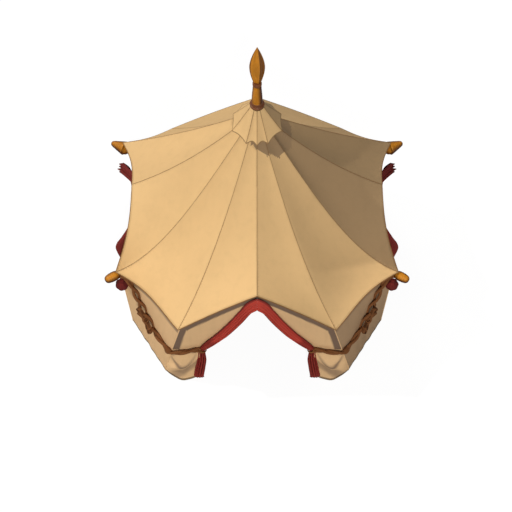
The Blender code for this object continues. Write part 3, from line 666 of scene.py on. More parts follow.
class Nodes:
    """Short calls that add and link the nodes of one tree."""

    def __init__(self, tree):
        self.tree = tree

    def add(self, kind, **settings):
        """Add a node and set its properties."""
        node = self.tree.nodes.new(kind)
        for name, value in settings.items():
            setattr(node, name, value)
        return node

    def put(self, socket, value):
        """Link an output to an input, or give the input a constant."""
        if isinstance(value, bpy.types.NodeSocket):
            self.tree.links.new(value, socket)
        else:
            socket.default_value = value

    def feed(self, node, *first, **named):
        """Fill a node's inputs, in their order or by name, and return its outputs."""
        for socket, value in zip(node.inputs, first):
            self.put(socket, value)
        for name, value in named.items():
            self.put(node.inputs[name.replace("_", " ")], value)
        return node.outputs

    def maths(self, operation, first, second=0.0):
        """Return the result of a Math node."""
        return self.feed(self.add("ShaderNodeMath", operation=operation), first, second)[0]

    def times(self, first, second):
        """Return a product."""
        return self.maths("MULTIPLY", first, second)

    def plus(self, first, second):
        """Return a sum."""
        return self.maths("ADD", first, second)

    def ramp(self, value, low, high, start=0.0, stop=1.0):
        """Return a value turned smoothly from one range to another."""
        node = self.add("ShaderNodeMapRange", interpolation_type="SMOOTHSTEP")
        return self.feed(node, value, low, high, start, stop)[0]

    def mix(self, share, first, second, blend="MIX"):
        """Return two colours mixed by a share."""
        node = self.add("ShaderNodeMix", data_type="RGBA", blend_type=blend)
        for socket, value in ((0, share), (6, first), (7, second)):
            self.put(node.inputs[socket], value)
        return node.outputs[2]

    def noise(self, vector, scale, detail=3.0, roughness=0.5):
        """Return the value of a Noise texture."""
        node = self.add("ShaderNodeTexNoise")
        given = {"Vector": vector, "Scale": scale, "Detail": detail, "Roughness": roughness}
        return self.feed(node, **given)[0]

    def stretched(self, vector, scale):
        """Return a vector with each axis scaled."""
        return self.feed(self.add("ShaderNodeMapping"), Vector=vector, Scale=scale)[0]

    def split(self, vector):
        """Return the X, Y and Z of a vector."""
        return self.feed(self.add("ShaderNodeSeparateXYZ"), vector)

    def mark(self, name):
        """Return a number that the mesh carries at each point."""
        return self.add("ShaderNodeAttribute", attribute_name=name).outputs["Fac"]

    def group(self, name, **values):
        """Place one of the shared node groups and set its inputs."""
        return self.feed(self.add("ShaderNodeGroup", node_tree=shared(name)), **values)

    def camera_or(self, seen, otherwise):
        """Return one shader for what the camera sees, and another for all other rays."""
        is_camera = self.add("ShaderNodeLightPath").outputs["Is Camera Ray"]
        return self.feed(self.add("ShaderNodeMixShader"), is_camera, otherwise, seen)[0]


def weave_nodes(nodes, given):
    """Return the height and the slubs of a plain weave, on a cloth whose UVs are in metres."""
    per_metre = nodes.maths("DIVIDE", math.pi, given["Thread"])
    uv = nodes.split(given["Vector"])
    warp, weft = (nodes.maths("SINE", nodes.times(uv[axis], per_metre)) for axis in range(2))
    slub = nodes.noise(nodes.stretched(given["Vector"], (9.0, 160.0, 1.0)), 1.0, 2.0)
    cross = nodes.noise(nodes.stretched(given["Vector"], (160.0, 9.0, 1.0)), 1.0, 2.0)
    return nodes.times(warp, weft), nodes.times(nodes.plus(slub, cross), 0.5)


def weather_nodes(nodes, given):
    """Return soft stains and rain streaks over the whole tent."""
    stain = nodes.noise(given["Vector"], given["Scale"], 5.0, 0.6)
    streak = nodes.noise(nodes.stretched(given["Vector"], (7.0, 7.0, 0.7)), given["Scale"])
    return nodes.ramp(stain, 0.42, 0.72), nodes.ramp(streak, 0.45, 0.75)


def grain_nodes(nodes, given):
    """Return wood grain and pores, drawn out along the piece's own length."""
    grain = nodes.noise(nodes.stretched(given["Vector"], (26.0, 2.4, 1.0)), 1.0, 4.0, 0.6)
    pores = nodes.noise(nodes.stretched(given["Vector"], (160.0, 9.0, 1.0)), 1.0, 2.0)
    return nodes.ramp(grain, 0.30, 0.70), nodes.ramp(pores, 0.35, 0.60)


def wear_and_highlight_nodes(nodes, given):
    """Return sharp edges, rubbed on wood and lit by a painted highlight on rope, and darkened hollows,
    from the sharpness of the surface.
    """
    sharp = nodes.add("ShaderNodeNewGeometry").outputs["Pointiness"]
    above = nodes.maths("DIVIDE", nodes.maths("SUBTRACT", sharp, 0.5), given["Reach"])
    return nodes.ramp(above, 0.1, 1.0), nodes.ramp(above, -0.1, -1.0)


# Tints that cloth and wood are multiplied by where they carry painted shade
PAINTED_SHADE_TINT = (0.26, 0.26, 0.34, 1.0)
WOOD_PAINTED_SHADE = (0.11, 0.055, 0.03, 1.0)
# Shared shader groups: name, inputs with None for a vector, outputs and what fills them in
GROUPS = {
    "weave": ("Plain weave", {"Vector": None, "Thread": 0.006}, ("Height", "Slub"), weave_nodes),
    "weather": ("Weather", {"Vector": None, "Scale": 1.0}, ("Stain", "Streak"), weather_nodes),
    "grain": ("Wood grain", {"Vector": None}, ("Grain", "Pores"), grain_nodes),
    "wear_and_highlight": ("Edge wear", {"Reach": 0.05}, ("Edge", "Hollow"), wear_and_highlight_nodes),
}
made_groups = {}
made_finishes = {}


def shared(name):
    """Return one of the shared node groups, built the first time it is needed."""
    if name in made_groups:
        return made_groups[name]
    title, inputs, outputs, fill = GROUPS[name]
    tree = bpy.data.node_groups.new(title, "ShaderNodeTree")
    for label, default in inputs.items():
        kind = "NodeSocketVector" if default is None else "NodeSocketFloat"
        socket = tree.interface.new_socket(label, in_out="INPUT", socket_type=kind)
        if default is not None:
            socket.default_value = default
    for label in outputs:
        tree.interface.new_socket(label, in_out="OUTPUT", socket_type="NodeSocketFloat")
    nodes = Nodes(tree)
    given = nodes.add("NodeGroupInput").outputs
    nodes.feed(nodes.add("NodeGroupOutput"), *fill(nodes, given))
    made_groups[name] = tree
    return tree


def new_material(name, colour, roughness):
    """Return a material, its node calls, its shader and where its UVs and object points come from."""
    made = bpy.data.materials.new(name)
    made.use_nodes = True
    made.diffuse_color = (*colour, 1.0)
    nodes = Nodes(made.node_tree)
    shader = made.node_tree.nodes["Principled BSDF"]
    shader.inputs["Roughness"].default_value = roughness
    shader.inputs["Specular IOR Level"].default_value = 0.18
    place = nodes.add("ShaderNodeTexCoord")
    return made, nodes, shader, place.outputs["UV"], place.outputs["Object"]


def darker(colour, share):
    """Return a colour multiplied by a share, with its opacity."""
    return (*(channel * share for channel in colour), 1.0)


def layered(nodes, tone, colour, *layers):
    """Return a tone with darker shades of a colour laid over it, each by its own mask."""
    for mask, shade in layers:
        tone = nodes.mix(mask, tone, darker(colour, shade))
    return tone


def dress(made, nodes, shader, tone, rough, height, distance):
    """Give a material its colour and roughness, and a height that varies over its surface."""
    bump = nodes.add("ShaderNodeBump")
    raised = nodes.feed(bump, Strength=1.0, Distance=distance, Height=height)[0]
    nodes.feed(shader, Base_Color=tone, Roughness=rough, Normal=raised)
    return made


def cloth_material(name, colour, thread, hem, hem_shade, seam_shade, stain=0.10):
    """Return woven cloth with stains, a sewn hem, dark seams and puckers beside them, and the painted
    shade of its shade mark.
    """
    made, nodes, shader, uv, place = new_material(name, colour, 0.85)
    weave = nodes.group("weave", Vector=uv, Thread=thread)
    weather = nodes.group("weather", Vector=place, Scale=1.1)
    to_seam = nodes.mark("to_seam")
    hem_mask = nodes.ramp(nodes.mark("to_hem"), hem, hem + 0.012, 1.0, 0.0)
    line = nodes.ramp(to_seam, 0.002, 0.007, 0.8, 0.0)
    tone = layered(
        nodes,
        (*colour, 1.0),
        colour,
        (nodes.times(weave["Slub"], 0.35), 0.80),
        (nodes.times(weather["Stain"], stain), 0.55),
        (nodes.times(weather["Streak"], stain), 0.62),
        (hem_mask, hem_shade),
        # Darker beside seams; on curtains the seam mark holds the pleats' depth, so this is painted
        # shade in the fold hollows
        (nodes.ramp(to_seam, 0.022, 0.030, 0.20, 0.0), 0.75),
        (line, seam_shade),
    )
    # Painted shade from the mesh's shade mark, in a cool grey tint
    tone = nodes.mix(nodes.mark("shade"), tone, PAINTED_SHADE_TINT, "MULTIPLY")
    rough = nodes.plus(nodes.times(weave["Slub"], 0.14), 0.76)
    pucker = nodes.maths("SINE", nodes.times(nodes.split(uv)[1], 95.0))
    pucker = nodes.times(pucker, nodes.ramp(to_seam, 0.0, 0.10, 1.0, 0.0))
    height = nodes.plus(nodes.times(weave["Height"], 0.30), weave["Slub"])
    height = nodes.plus(height, nodes.times(pucker, 0.8))
    height = nodes.plus(height, nodes.times(hem_mask, 1.5))
    height = nodes.maths("SUBTRACT", height, nodes.times(line, 3.0))
    return dress(made, nodes, shader, tone, rough, height, 0.0015)


def wood_material(name, colour, roughness, edge_tint, coat=0.0):
    """Return oiled wood with grain, pores, rubbed edges, darker hollows and the painted shade of its
    shade mark.
    """
    made, nodes, shader, uv, place = new_material(name, colour, roughness)
    grain = nodes.group("grain", Vector=uv)
    wear_and_highlight = nodes.group("wear_and_highlight", Reach=0.06)
    blotch = nodes.ramp(nodes.noise(place, 3.0), 0.40, 0.70)
    tone = layered(
        nodes,
        (*colour, 1.0),
        colour,
        (nodes.times(grain["Grain"], 0.55), 0.45),
        (nodes.times(grain["Pores"], 0.18), 0.25),
        (nodes.times(blotch, 0.35), 0.60),
        (nodes.times(wear_and_highlight["Hollow"], 0.8), 0.18),
    )
    tone = nodes.mix(nodes.times(wear_and_highlight["Edge"], 0.4), tone, (*edge_tint, 1.0))
    # Painted shade from the mesh's shade mark
    tone = nodes.mix(nodes.mark("shade"), tone, WOOD_PAINTED_SHADE, "MULTIPLY")
    shader.inputs["Coat Weight"].default_value = coat
    shader.inputs["Coat Roughness"].default_value = 0.35
    rough = nodes.plus(nodes.times(grain["Grain"], 0.22), roughness - 0.08)
    height = nodes.maths("SUBTRACT", grain["Grain"], nodes.times(grain["Pores"], 0.6))
    return dress(made, nodes, shader, tone, rough, height, 0.0014)


def rope_material(name, colour):
    """Return hemp rope with fibres along each strand, darker between the strands, and a painted
    highlight on its raised edges.
    """
    made, nodes, shader, uv, place = new_material(name, colour, 0.9)
    wear_and_highlight = nodes.group("wear_and_highlight", Reach=0.08)
    fibre = nodes.noise(nodes.stretched(uv, (420.0, 26.0, 1.0)), 1.0)
    patch = nodes.ramp(nodes.noise(place, 9.0), 0.35, 0.70)
    tone = layered(
        nodes,
        darker(colour, 0.55),
        colour,
        (nodes.ramp(fibre, 0.30, 0.70), 1.25),
        (nodes.times(patch, 0.5), 0.5),
        (nodes.times(wear_and_highlight["Hollow"], 0.8), 0.2),
        # Painted highlight on the raised edges of the strands
        (nodes.times(wear_and_highlight["Edge"], 0.6), 2.6),
    )
    rough = nodes.plus(nodes.times(fibre, 0.2), 0.75)
    return dress(made, nodes, shader, tone, rough, fibre, 0.002)


def floor_material(name, colour):
    """Return a pale studio floor with a faint brushed tone."""
    made, nodes, shader, _, place = new_material(name, colour, 0.9)
    patch = nodes.noise(place, 0.35)
    tone = layered(nodes, darker(colour, 0.12), colour, (nodes.ramp(patch, 0.3, 0.7), 0.11))
    shader.inputs["Emission Color"].default_value = WHITE
    shader.inputs["Emission Strength"].default_value = 0.92
    dress(made, nodes, shader, tone, nodes.plus(nodes.times(patch, 0.1), 0.85), patch, 0.0005)
    bounce = nodes.feed(nodes.add("ShaderNodeBsdfDiffuse"), Color=darker(colour, FLOOR_BOUNCE))
    surface = nodes.camera_or(shader.outputs[0], bounce[0])
    nodes.feed(nodes.tree.nodes["Material Output"], Surface=surface)
    return made


def finish(name):
    """Return one of the tent's materials, built the first time it is needed."""
    if name in made_finishes:
        return made_finishes[name]
    colours = bpy.context.scene.tent_colours
    thread = bpy.context.scene.tent_sizes.thread
    canvas, wall, red = tuple(colours.canvas), tuple(colours.walls), tuple(colours.curtains)
    recipes = {
        "roof canvas": (cloth_material, canvas, thread, 0.030, 0.80, 0.45),
        "cap canvas": (cloth_material, canvas, thread, 0.012, 0.45, 0.45),
        "wall canvas": (cloth_material, wall, thread, 0.070, 0.34, 0.30, 0.16),
        "red cloth": (cloth_material, red, thread * 0.7, 0.030, 0.50, 0.25, 0.2),
        "dark thread": (rope_material, tuple(colours.thread)),
        "corner cord": (rope_material, tuple(0.5 * channel for channel in wall)),
        "carved wood": (wood_material, tuple(colours.carved_wood), 0.42, (0.80, 0.36, 0.06), 0.06),
        "dark wood": (wood_material, tuple(colours.dark_wood), 0.40, (0.50, 0.24, 0.11), 0.2),
        "frame wood": (wood_material, tuple(colours.frame_wood), 0.6, (0.40, 0.24, 0.11)),
        "rope": (rope_material, tuple(colours.rope)),
        "floor": (floor_material, tuple(colours.floor)),
    }
    maker, *values = recipes[name]
    made_finishes[name] = maker(name, *values)
    return made_finishes[name]


def corner_line(top, foot, share):
    """Return points down a wall's corner, share from 0 at its top to 1 on the ground."""
    hem = HEM / top[2]
    sloped = lerp(top, foot + UP * HEM, np.minimum(share / (1.0 - hem), 1.0))
    return sloped - UP * (HEM * np.maximum(share - 1.0 + hem, 0.0) / hem)[..., None]


class Doorway:
    """One half of an open doorway, in the right half of the tent."""

    def __init__(self, peak, corner, out, to_corner, curtain, depths, bulge, reach):
        self.corner_first = any((panel.first, panel.last) == (corner, peak) for panel in PANELS)
        self.panel = find_panel(corner, peak) if self.corner_first else find_panel(peak, corner)
        self.corner = corner
        self.out = np.array(out, float)
        self.to_corner = np.array(to_corner, float)
        self.bulge = bulge
        self.depths = depths
        across, far, height = np.array(curtain).T[..., None]
        self.stations = self.to_corner * across + self.out * far + UP * (EAVE + height)
        path, across, self.half_width, self.half_depth = self.rings(RINGS_PER_STATION)
        towards = self.to_corner + UP
        self.sideways = across * np.where(across @ towards < 0.0, -1.0, 1.0)[:, None]
        beyond = np.maximum(0.0, path @ self.out - reach)
        self.path = path
        tucked = self.sideways * (self.half_width * TUCK)[:, None]
        self.edge = path + tucked - np.outer(beyond + self.half_depth + 0.012, self.out)

    def rings(self, steps):
        """Return centres, directions across, half widths and half depths down the curtain."""
        coarse = smooth_path(self.stations, RINGS_PER_STATION)
        ahead = np.gradient(coarse, axis=0)
        ahead[0] = self.to_corner
        ahead[-1] = -UP
        ahead = unit(ahead - np.outer(ahead @ self.out, self.out))
        path = smooth_path(self.stations, steps)
        place = np.linspace(0.0, len(coarse) - 1.0, len(path))
        ahead = unit(interpolated(place, np.arange(len(coarse)), ahead))
        station = np.linspace(0.0, len(self.stations) - 1.0, len(path))
        widths = np.interp(station, np.arange(len(CURTAIN_WIDTHS)), CURTAIN_WIDTHS)
        depths = np.interp(station, np.arange(len(self.depths)), self.depths)
        return path, np.cross(self.out, ahead), widths, depths

    def door_edge(self, down):
        """Return where the flap meets the curtain, down from 0 at the peak to 1 at the foot."""
        place = np.asarray(down) * (len(self.edge) - 1)
        return interpolated(place, np.arange(len(self.edge)), self.edge)

    def corner_edge(self, down):
        """Return the flap's outer edge: along the eave to the corner, then down the seam."""
        down = np.asarray(down, float)
        v = np.minimum(down / FLAP_CORNER_SHARE, 1.0)
        eave = under_eave(self.panel, 1.0 - v if self.corner_first else v, FLAP_NOTCH)
        top = under_eave(self.panel, np.array(0.0 if self.corner_first else 1.0), FLAP_NOTCH)
        share = np.maximum(down - FLAP_CORNER_SHARE, 0.0) / (1.0 - FLAP_CORNER_SHARE)
        seam = corner_line(top, FEET[self.corner], share)
        lap = EAVE_LAP * np.clip((1.0 - share * 12.0), 0.0, 1.0)
        return np.where((down <= FLAP_CORNER_SHARE)[..., None], eave, seam) + UP * lap[..., None]

    def flap_point(self, down, share):
        """Return points of the flap, share from 0 at the curtain to 1 at the corner."""
        placed = lerp(self.door_edge(down), self.corner_edge(down), share)
        below = np.maximum(0.0, down - BULGE_START) / (1.0 - BULGE_START)
        bulge = self.bulge * below * np.sin(np.pi * share)
        return placed + self.out * bulge[..., None]


FRONT_CLOTH = (FRONT_CURTAIN, FRONT_DEPTHS, FRONT_FLAP_BULGE, FRONT_FLAP_REACH)
SIDE_FRONT_CLOTH = (SIDE_FRONT_CURTAIN, SIDE_DEPTHS, SIDE_FLAP_BULGE, SIDE_FLAP_REACH)
SIDE_BACK_CLOTH = (SIDE_BACK_CURTAIN, SIDE_DEPTHS, SIDE_FLAP_BULGE, SIDE_FLAP_REACH)
DOORS = {
    "front": Doorway("front", "front_corner", (0, -1, 0), (1, 0, 0), *FRONT_CLOTH),
    "side_front": Doorway("side", "side_front", (1, 0, 0), (0, -1, 0), *SIDE_FRONT_CLOTH),
    "side_back": Doorway("side", "side_back", (1, 0, 0), (0, 1, 0), *SIDE_BACK_CLOTH),
}
SIDES = ((1, "right"), (-1, "left"))


def roof_columns():
    """Return the panel, place in the panel and side of each column round the roof."""
    steps = np.arange(PANEL_COLUMNS) / PANEL_COLUMNS
    right = [(panel, float(v), 1) for panel in PANELS for v in steps]
    left = [(panel, float(1.0 - v), -1) for panel in reversed(PANELS) for v in steps]
    return right + left


def roof_surface(t, panel, v, side, lift=0.0):
    """Return roof points down one line, lifted off the inner face."""
    return flipped(roof_point(panel, t, np.full(np.shape(t), v)), side) + UP * lift


def rim_radius(along):
    """Return the radius of the cap's rim, along from 0 to 1 between two of its points."""
    return CAP_TIP_RADIUS - (CAP_TIP_RADIUS - CAP_VALLEY_RADIUS) * arch(along)


def roof_painted_shade(place):
    """Return the painted shade of a point of the roof: its gore's own, or the cap's painted shadow
    where that falls.
    """
    if place.z > CAP_SHADOW_FROM:
        x, y = place.x - CAP_SHADOW_SHIFT[0], place.y - CAP_SHADOW_SHIFT[1]
        turn = (math.degrees(math.atan2(y, x)) + 90.0) % 360.0 - 90.0
        past = turn - np.array(CAP_TURNS)
        gore = int(np.searchsorted(-past, 0.0)) - 1
        along = past[gore] / (CAP_TURNS[gore + 1] - CAP_TURNS[gore])
        if math.hypot(x, y) < rim_radius(along):
            return CAP_SHADOW_SHADE
    side = 1 if place.x > 0.0 else -1
    turn = math.atan2(place.y, abs(place.x))
    starts = [math.atan2(SEAMS[panel.first].y, SEAMS[panel.first].x) for panel in PANELS]
    return GORE_PAINTED_SHADE[side][sum(turn > start for start in starts[1:])]


def cap_painted_shade(place):
    """Return the painted shade of a point of the crown cap, darker on the right."""
    start, stop, shade = CAP_PAINTED_SHADE
    return shade if start < math.degrees(math.atan2(place.y, place.x)) < stop else 0.0


def gore_uv(share, width, across, down):
    """Return UVs in metres on gores that lie side by side, share from 0 to 1 over each gore."""
    return np.stack([(share - 0.5) * width + across, down], axis=-1)


def gore_marks(share, width, down):
    """Return the seam and hem distances on a sheet of gores."""
    return {"to_seam": np.minimum(share, 1.0 - share) * width, "to_hem": down[-1][None] - down}


def build_roof(sizes):
    """Make the roof as one continuous sheet of twelve gores, with its hem rope and stitches."""
    t = np.concatenate([[ROOF_START, 0.09], np.linspace(0.12, 0.34, 30), np.linspace(0.36, 1.0, 30)])
    columns = roof_columns()
    grid = np.stack([roof_surface(t, *column) for column in columns], axis=1)
    down = column_runs(grid)
    chords = {panel: math.dist(SEAMS[panel.first][:2], SEAMS[panel.last][:2]) for panel in PANELS}
    width = np.array([chords[panel] for panel, _, _ in columns])[None] * t[:, None]
    share = np.array([v if side > 0 else 1.0 - v for _, v, side in columns])[None]
    across = np.arange(len(columns))[None] // PANEL_COLUMNS * GORE_SHIFT
    uv = gore_uv(share, width, across, down)
    uv_next = gore_uv(share + 1.0 / PANEL_COLUMNS, width, across, np.roll(down, -1, axis=1))
    marks = gore_marks(share, width, down)
    canvas = finish("roof canvas")
    roof = shell("roof_canopy", grid, sizes.canvas, canvas, uv, uv_next, True, marks)
    # Painted shade on the gores away from the light, and the cap's painted shadow on the roof
    mark_faces(roof, roof_painted_shade)
    gores = [f"roof_{word}_{panel.first}_to_{panel.last}" for _, word in SIDES for panel in PANELS]
    finish_piece(roof, "roof_canvas", *gores)
    lines = []
    beside = []
    long = np.linspace(ROOF_START + 0.03, 0.992, 60)
    fine = np.linspace(ROOF_START + 0.05, 0.99, 60)
    for panel, v, side in columns[::PANEL_COLUMNS]:
        lines.append(roof_surface(long, panel, v, side, sizes.canvas + 0.002))
        offset = sizes.seam_allowance / (chords[panel] * fine)
        inside = roof_point(panel, fine, np.clip(v + side * offset, 0.0, 1.0))
        beside.append(flipped(inside, side) + UP * (sizes.canvas + 0.001))
    cords = path_piece("roof_seam_cords", lines, "Seam cord", "dark thread", "rope", Radius=SEAM_CORD)
    sewing = {"Spacing": sizes.stitch_spacing, "Length": sizes.stitch_length}
    sewing["Thickness"] = STITCH_THICKNESS
    stitches = path_piece("roof_seam_stitches", beside, "Stitch row", "dark thread", "rope", **sewing)
    hem = grid[-1] + UP * sizes.canvas * 0.4
    binding = swept_piece("eave_binding", hem, EAVE_CORD, 8, "rope", "dark thread")


def cap_point(gore, along, share):
    """Return points of the crown cap: along from 0 to 1 between two ribs, share from top to rim."""
    turn = np.radians(np.interp(gore + along, np.arange(CAP_POINTS + 1), CAP_TURNS))
    rim = CAP_RIM + CAP_SCALLOP * arch(along)
    slope = np.clip((share - CAP_SHOULDER) / (1.0 - CAP_SHOULDER), 0.0, 1.0)
    shoulder = np.minimum(share / CAP_SHOULDER, 1.0)
    radius = CAP_HOLE_RADIUS + (CAP_SHOULDER_RADIUS - CAP_HOLE_RADIUS) * shoulder
    radius = radius + (rim_radius(along) - CAP_SHOULDER_RADIUS) * slope
    radius = radius - 0.022 * arch(along) * np.sin(np.pi * slope * 0.62)
    height = CAP_TOP + (rim - CAP_TOP) * slope - 0.012 * np.sin(np.pi * slope)
    return np.stack([radius * np.cos(turn), radius * np.sin(turn), height], axis=-1)


def build_crown_cap():
    """Make the pleated cap with its scalloped, bound rim."""
    share = np.linspace(0.0, 1.0, CAP_ROWS + 1)[:, None]
    count = CAP_POINTS * CAP_GORE_COLUMNS
    gore = (np.arange(count) // CAP_GORE_COLUMNS)[None].astype(float)
    along = ((np.arange(count) % CAP_GORE_COLUMNS) / CAP_GORE_COLUMNS)[None]
    grid = cap_point(gore, along, share)
    width = np.linalg.norm(grid[:, 1] - grid[:, 0], axis=-1)[:, None] * CAP_GORE_COLUMNS
    down = column_runs(grid)
    across = gore * CAP_GORE_SHIFT
    uv = gore_uv(along, width, across, down)
    uv_next = gore_uv(along + 1.0 / CAP_GORE_COLUMNS, width, across, down)
    marks = gore_marks(along, width, down)
    cap = shell("crown_cap_cloth", grid, CAP_CANVAS, finish("cap canvas"), uv, uv_next, True, marks)
    # Painted shade on the cap's right gores
    mark_faces(cap, cap_painted_shade)
    finish_piece(cap, "roof_canvas", "crown_cap")
    rim = grid[-1] + UP * 0.003
    binding = swept_piece("crown_cap_binding", rim, CAP_CORD, 8, "rope", "dark thread")
    fine = np.linspace(0.10, 1.0, 24)
    lines = [cap_point(float(number), 0.0, fine) + UP * 0.007 for number in range(CAP_POINTS)]
    ribs = path_piece("crown_cap_ribs", lines, "Seam cord", "dark thread", "rope", Radius=SEAM_CORD)


def leaf_half_width(share):
    """Return the leaf's half width, share from 0 at its base to 1 at its tip."""
    low = np.sin(np.pi / 2.0 * np.minimum(share / LEAF_WIDEST, 1.0))
    high = np.maximum((share - LEAF_WIDEST) / (1.0 - LEAF_WIDEST), 0.0) ** 1.7
    widened = LEAF_HALF_WIDTH * (LEAF_BASE_SHARE + (1.0 - LEAF_BASE_SHARE) * low)
    return np.where(share < LEAF_WIDEST, widened, LEAF_HALF_WIDTH * (1.0 - high))


def build_finial():
    """Make the turned collar, barrel shaft and ring, and the carved leaf on top."""
    profile = [
        (0.030, COLLAR_TOP), (0.082, COLLAR_TOP - 0.001), (0.096, COLLAR_TOP - 0.012),
        (0.100, COLLAR_TOP - 0.030), (0.094, COLLAR_TOP - 0.044), (0.106, COLLAR_BASE + 0.056),
        (0.122, COLLAR_BASE + 0.046), (COLLAR_RADIUS, COLLAR_BASE + 0.026),
        (0.120, COLLAR_BASE + 0.006), (0.108, COLLAR_BASE + 0.001), (0.030, COLLAR_BASE),
    ]
    collar = turned_piece("finial_collar_turned", rounded(profile), "dark_wood", "finial_collar")
    # Painted shade where the collar faces away from the light
    paint_shade_away(collar, *COLLAR_SUN)
    base = COLLAR_TOP + CLEARANCE
    height = SHAFT_TOP - base
    share = np.linspace(1.0, 0.0, 41)
    taper = smoothstep(share * 1.25 - 0.2)
    radius = SHAFT_FOOT_RADIUS + (SHAFT_TOP_RADIUS - SHAFT_FOOT_RADIUS) * taper
    for groove in (0.05, 0.10, 0.90, 0.95):
        radius = radius - 0.006 * bump(share, groove, 0.014)
    lengthwise = [(r, base + height * s) for r, s in zip(radius, share)]
    profile = [(0.01, SHAFT_TOP), *lengthwise, (0.01, base)]
    shaft = turned_piece("finial_shaft_turned", profile, "carved_wood", "finial_shaft", 60)
    # Painted shade on the side of the shaft away from the light
    paint_shade_away(shaft, *SHAFT_SUN)
    low, high = SHAFT_TOP + CLEARANCE, RING_TOP
    profile = [
        (0.020, high), (RING_RADIUS - 0.018, high - 0.001), (RING_RADIUS - 0.006, high - 0.008),
        (RING_RADIUS - 0.001, high - 0.020), (RING_RADIUS - 0.010, (low + high) / 2.0),
        (RING_RADIUS - 0.001, low + 0.020), (RING_RADIUS - 0.006, low + 0.008),
        (RING_RADIUS - 0.018, low + 0.001), (0.020, low),
    ]
    turned_piece("finial_ring_turned", rounded(profile), "dark_wood", "finial_ring")
    build_leaf()


def leaf_painted_shade(place):
    """Return the painted shade of a point of the leaf, on its right faces and its rims."""
    share = (place.z - RING_TOP) / (LEAF_TIP - RING_TOP)
    half = float(leaf_half_width(np.array(min(share, 0.99))))
    across = place.x / max(half, 0.002)
    ridge = LEAF_SWERVE / LEAF_HALF_WIDTH
    right = 0.75 * float(smoothstep((across - ridge + 0.05) / 0.10)) if place.y < 0.0 else 0.0
    rim = 0.9 * float(smoothstep((abs(across) - 0.78) / 0.20))
    return max(right, rim)


def build_leaf():
    """Make the carved leaf, with a ridge down its front and back and hollow faces between."""
    base = RING_TOP + CLEARANCE
    body = np.linspace(0.0, 0.9, LEAF_ROWS)
    share = np.concatenate([body, np.linspace(0.905, 0.998, LEAF_TIP_ROWS)])[::-1]
    turn = np.arange(TURNED_STEPS) / TURNED_STEPS * math.tau
    flat = np.abs(np.cos(turn)) ** LEAF_FULLNESS + np.abs(np.sin(turn)) ** LEAF_FULLNESS
    flat = flat ** (-1.0 / LEAF_FULLNESS)
    half = leaf_half_width(share)[:, None]
    depth = half * LEAF_HALF_DEPTH / LEAF_HALF_WIDTH
    swerve = LEAF_SWERVE * half / LEAF_HALF_WIDTH * np.maximum(-np.sin(turn), 0.0) ** 2
    across = half * flat * np.cos(turn) + swerve
    height = np.broadcast_to((base + (LEAF_TIP - base) * share)[:, None], across.shape)
    points = np.stack([across, depth * flat * np.sin(turn), height], axis=-1)
    parts = MeshParts()
    add_rings(parts, points, (1.0 - share) * (LEAF_TIP - base), 0.011, 0.03, 0.03)
    leaf = parts.build("finial_leaf_carved", finish("carved wood"), 24)
    # Painted shade on the leaf's right faces and rims
    mark_faces(leaf, leaf_painted_shade)
    finish_piece(leaf, "carved_wood", "finial_leaf")


def build_frame():
    """Make the centre pole with its foot and head, the spoke hub, and the rail under the eave."""
    profile = [
        (0.005, POLE_TOP), (POLE_RADIUS - 0.003, POLE_TOP), (POLE_RADIUS, POLE_TOP - 0.004),
        (POLE_RADIUS, POLE_CONE_TOP), (POLE_RADIUS + 0.004, POLE_CONE_TOP - 0.01),
        (POLE_HEAD_RADIUS - 0.003, POLE_HEAD_BASE + 0.07),
        (POLE_HEAD_RADIUS, POLE_HEAD_BASE + 0.055), (POLE_HEAD_RADIUS, POLE_HEAD_BASE + 0.006),
        (POLE_HEAD_RADIUS - 0.006, POLE_HEAD_BASE), (POLE_RADIUS, POLE_HEAD_BASE - 0.05),
    ]
    heights = np.linspace(POLE_HEAD_BASE - 0.10, 0.14, 40)
    sway = 0.0012 * np.sin(heights * 9.0)
    profile += [(POLE_RADIUS - 0.0012 + s, z) for s, z in zip(sway, heights)]
    profile += [
        (POLE_RADIUS, POLE_FOOT_HEIGHT + 0.03), (POLE_RADIUS + 0.012, POLE_FOOT_HEIGHT + 0.014),
        (POLE_FOOT_RADIUS - 0.008, POLE_FOOT_HEIGHT), (POLE_FOOT_RADIUS, POLE_FOOT_HEIGHT - 0.008),
        (POLE_FOOT_RADIUS, 0.004), (POLE_FOOT_RADIUS - 0.004, 0.0), (0.005, 0.0),
    ]
    turned_piece("pole_and_foot", profile, "frame_wood", "centre_pole")
    low, high = SPOKE_HEIGHT - HUB_HALF_HEIGHT, SPOKE_HEIGHT + HUB_HALF_HEIGHT
    inner = POLE_RADIUS + CLEARANCE
    profile = [
        (inner, high), (HUB_RADIUS - 0.024, high), (HUB_RADIUS - 0.006, high - 0.006),
        (HUB_RADIUS, high - 0.022), (HUB_RADIUS - 0.006, high - 0.030),
        (HUB_RADIUS - 0.006, low + 0.030), (HUB_RADIUS, low + 0.022),
        (HUB_RADIUS - 0.006, low + 0.006), (HUB_RADIUS - 0.024, low), (inner, low),
    ]
    turned_piece("hub_ring", profile, "frame_wood", "spoke_hub")
    right = [hoop_point(panel, step / HOOP_STEPS) for panel in PANELS for step in range(HOOP_STEPS)]
    right.append(hoop_point(PANELS[-1], 1.0))
    left = [flipped(point, -1) for point in right[-2:0:-1]]
    route = resampled(np.array(right + left), 0.06, True)
    knobs = 1.0 - 0.05 * (np.sin(np.arange(len(route)) * 1.7) ** 2)
    swept_piece("eave_rail", route, HOOP_RADIUS * knobs, 12, "frame_wood", "frame wood", "eave_hoop")
    closed = [np.vstack([route, route[:1]])]
    turns = {"Spacing": LASHING_SPACING, "Radius": HOOP_RADIUS + 0.003}
    path_piece("rail_lashings", closed, "Rail lashing", "rope", "rope", **turns)


def hoop_point(panel, v):
    """Return a point on the centre line of the rail under the eave."""
    x, y, rise = eave_values(panel, v)[:3]
    return np.array((x * HOOP_INSET, y * HOOP_INSET, EAVE + rise - HOOP_DROP))


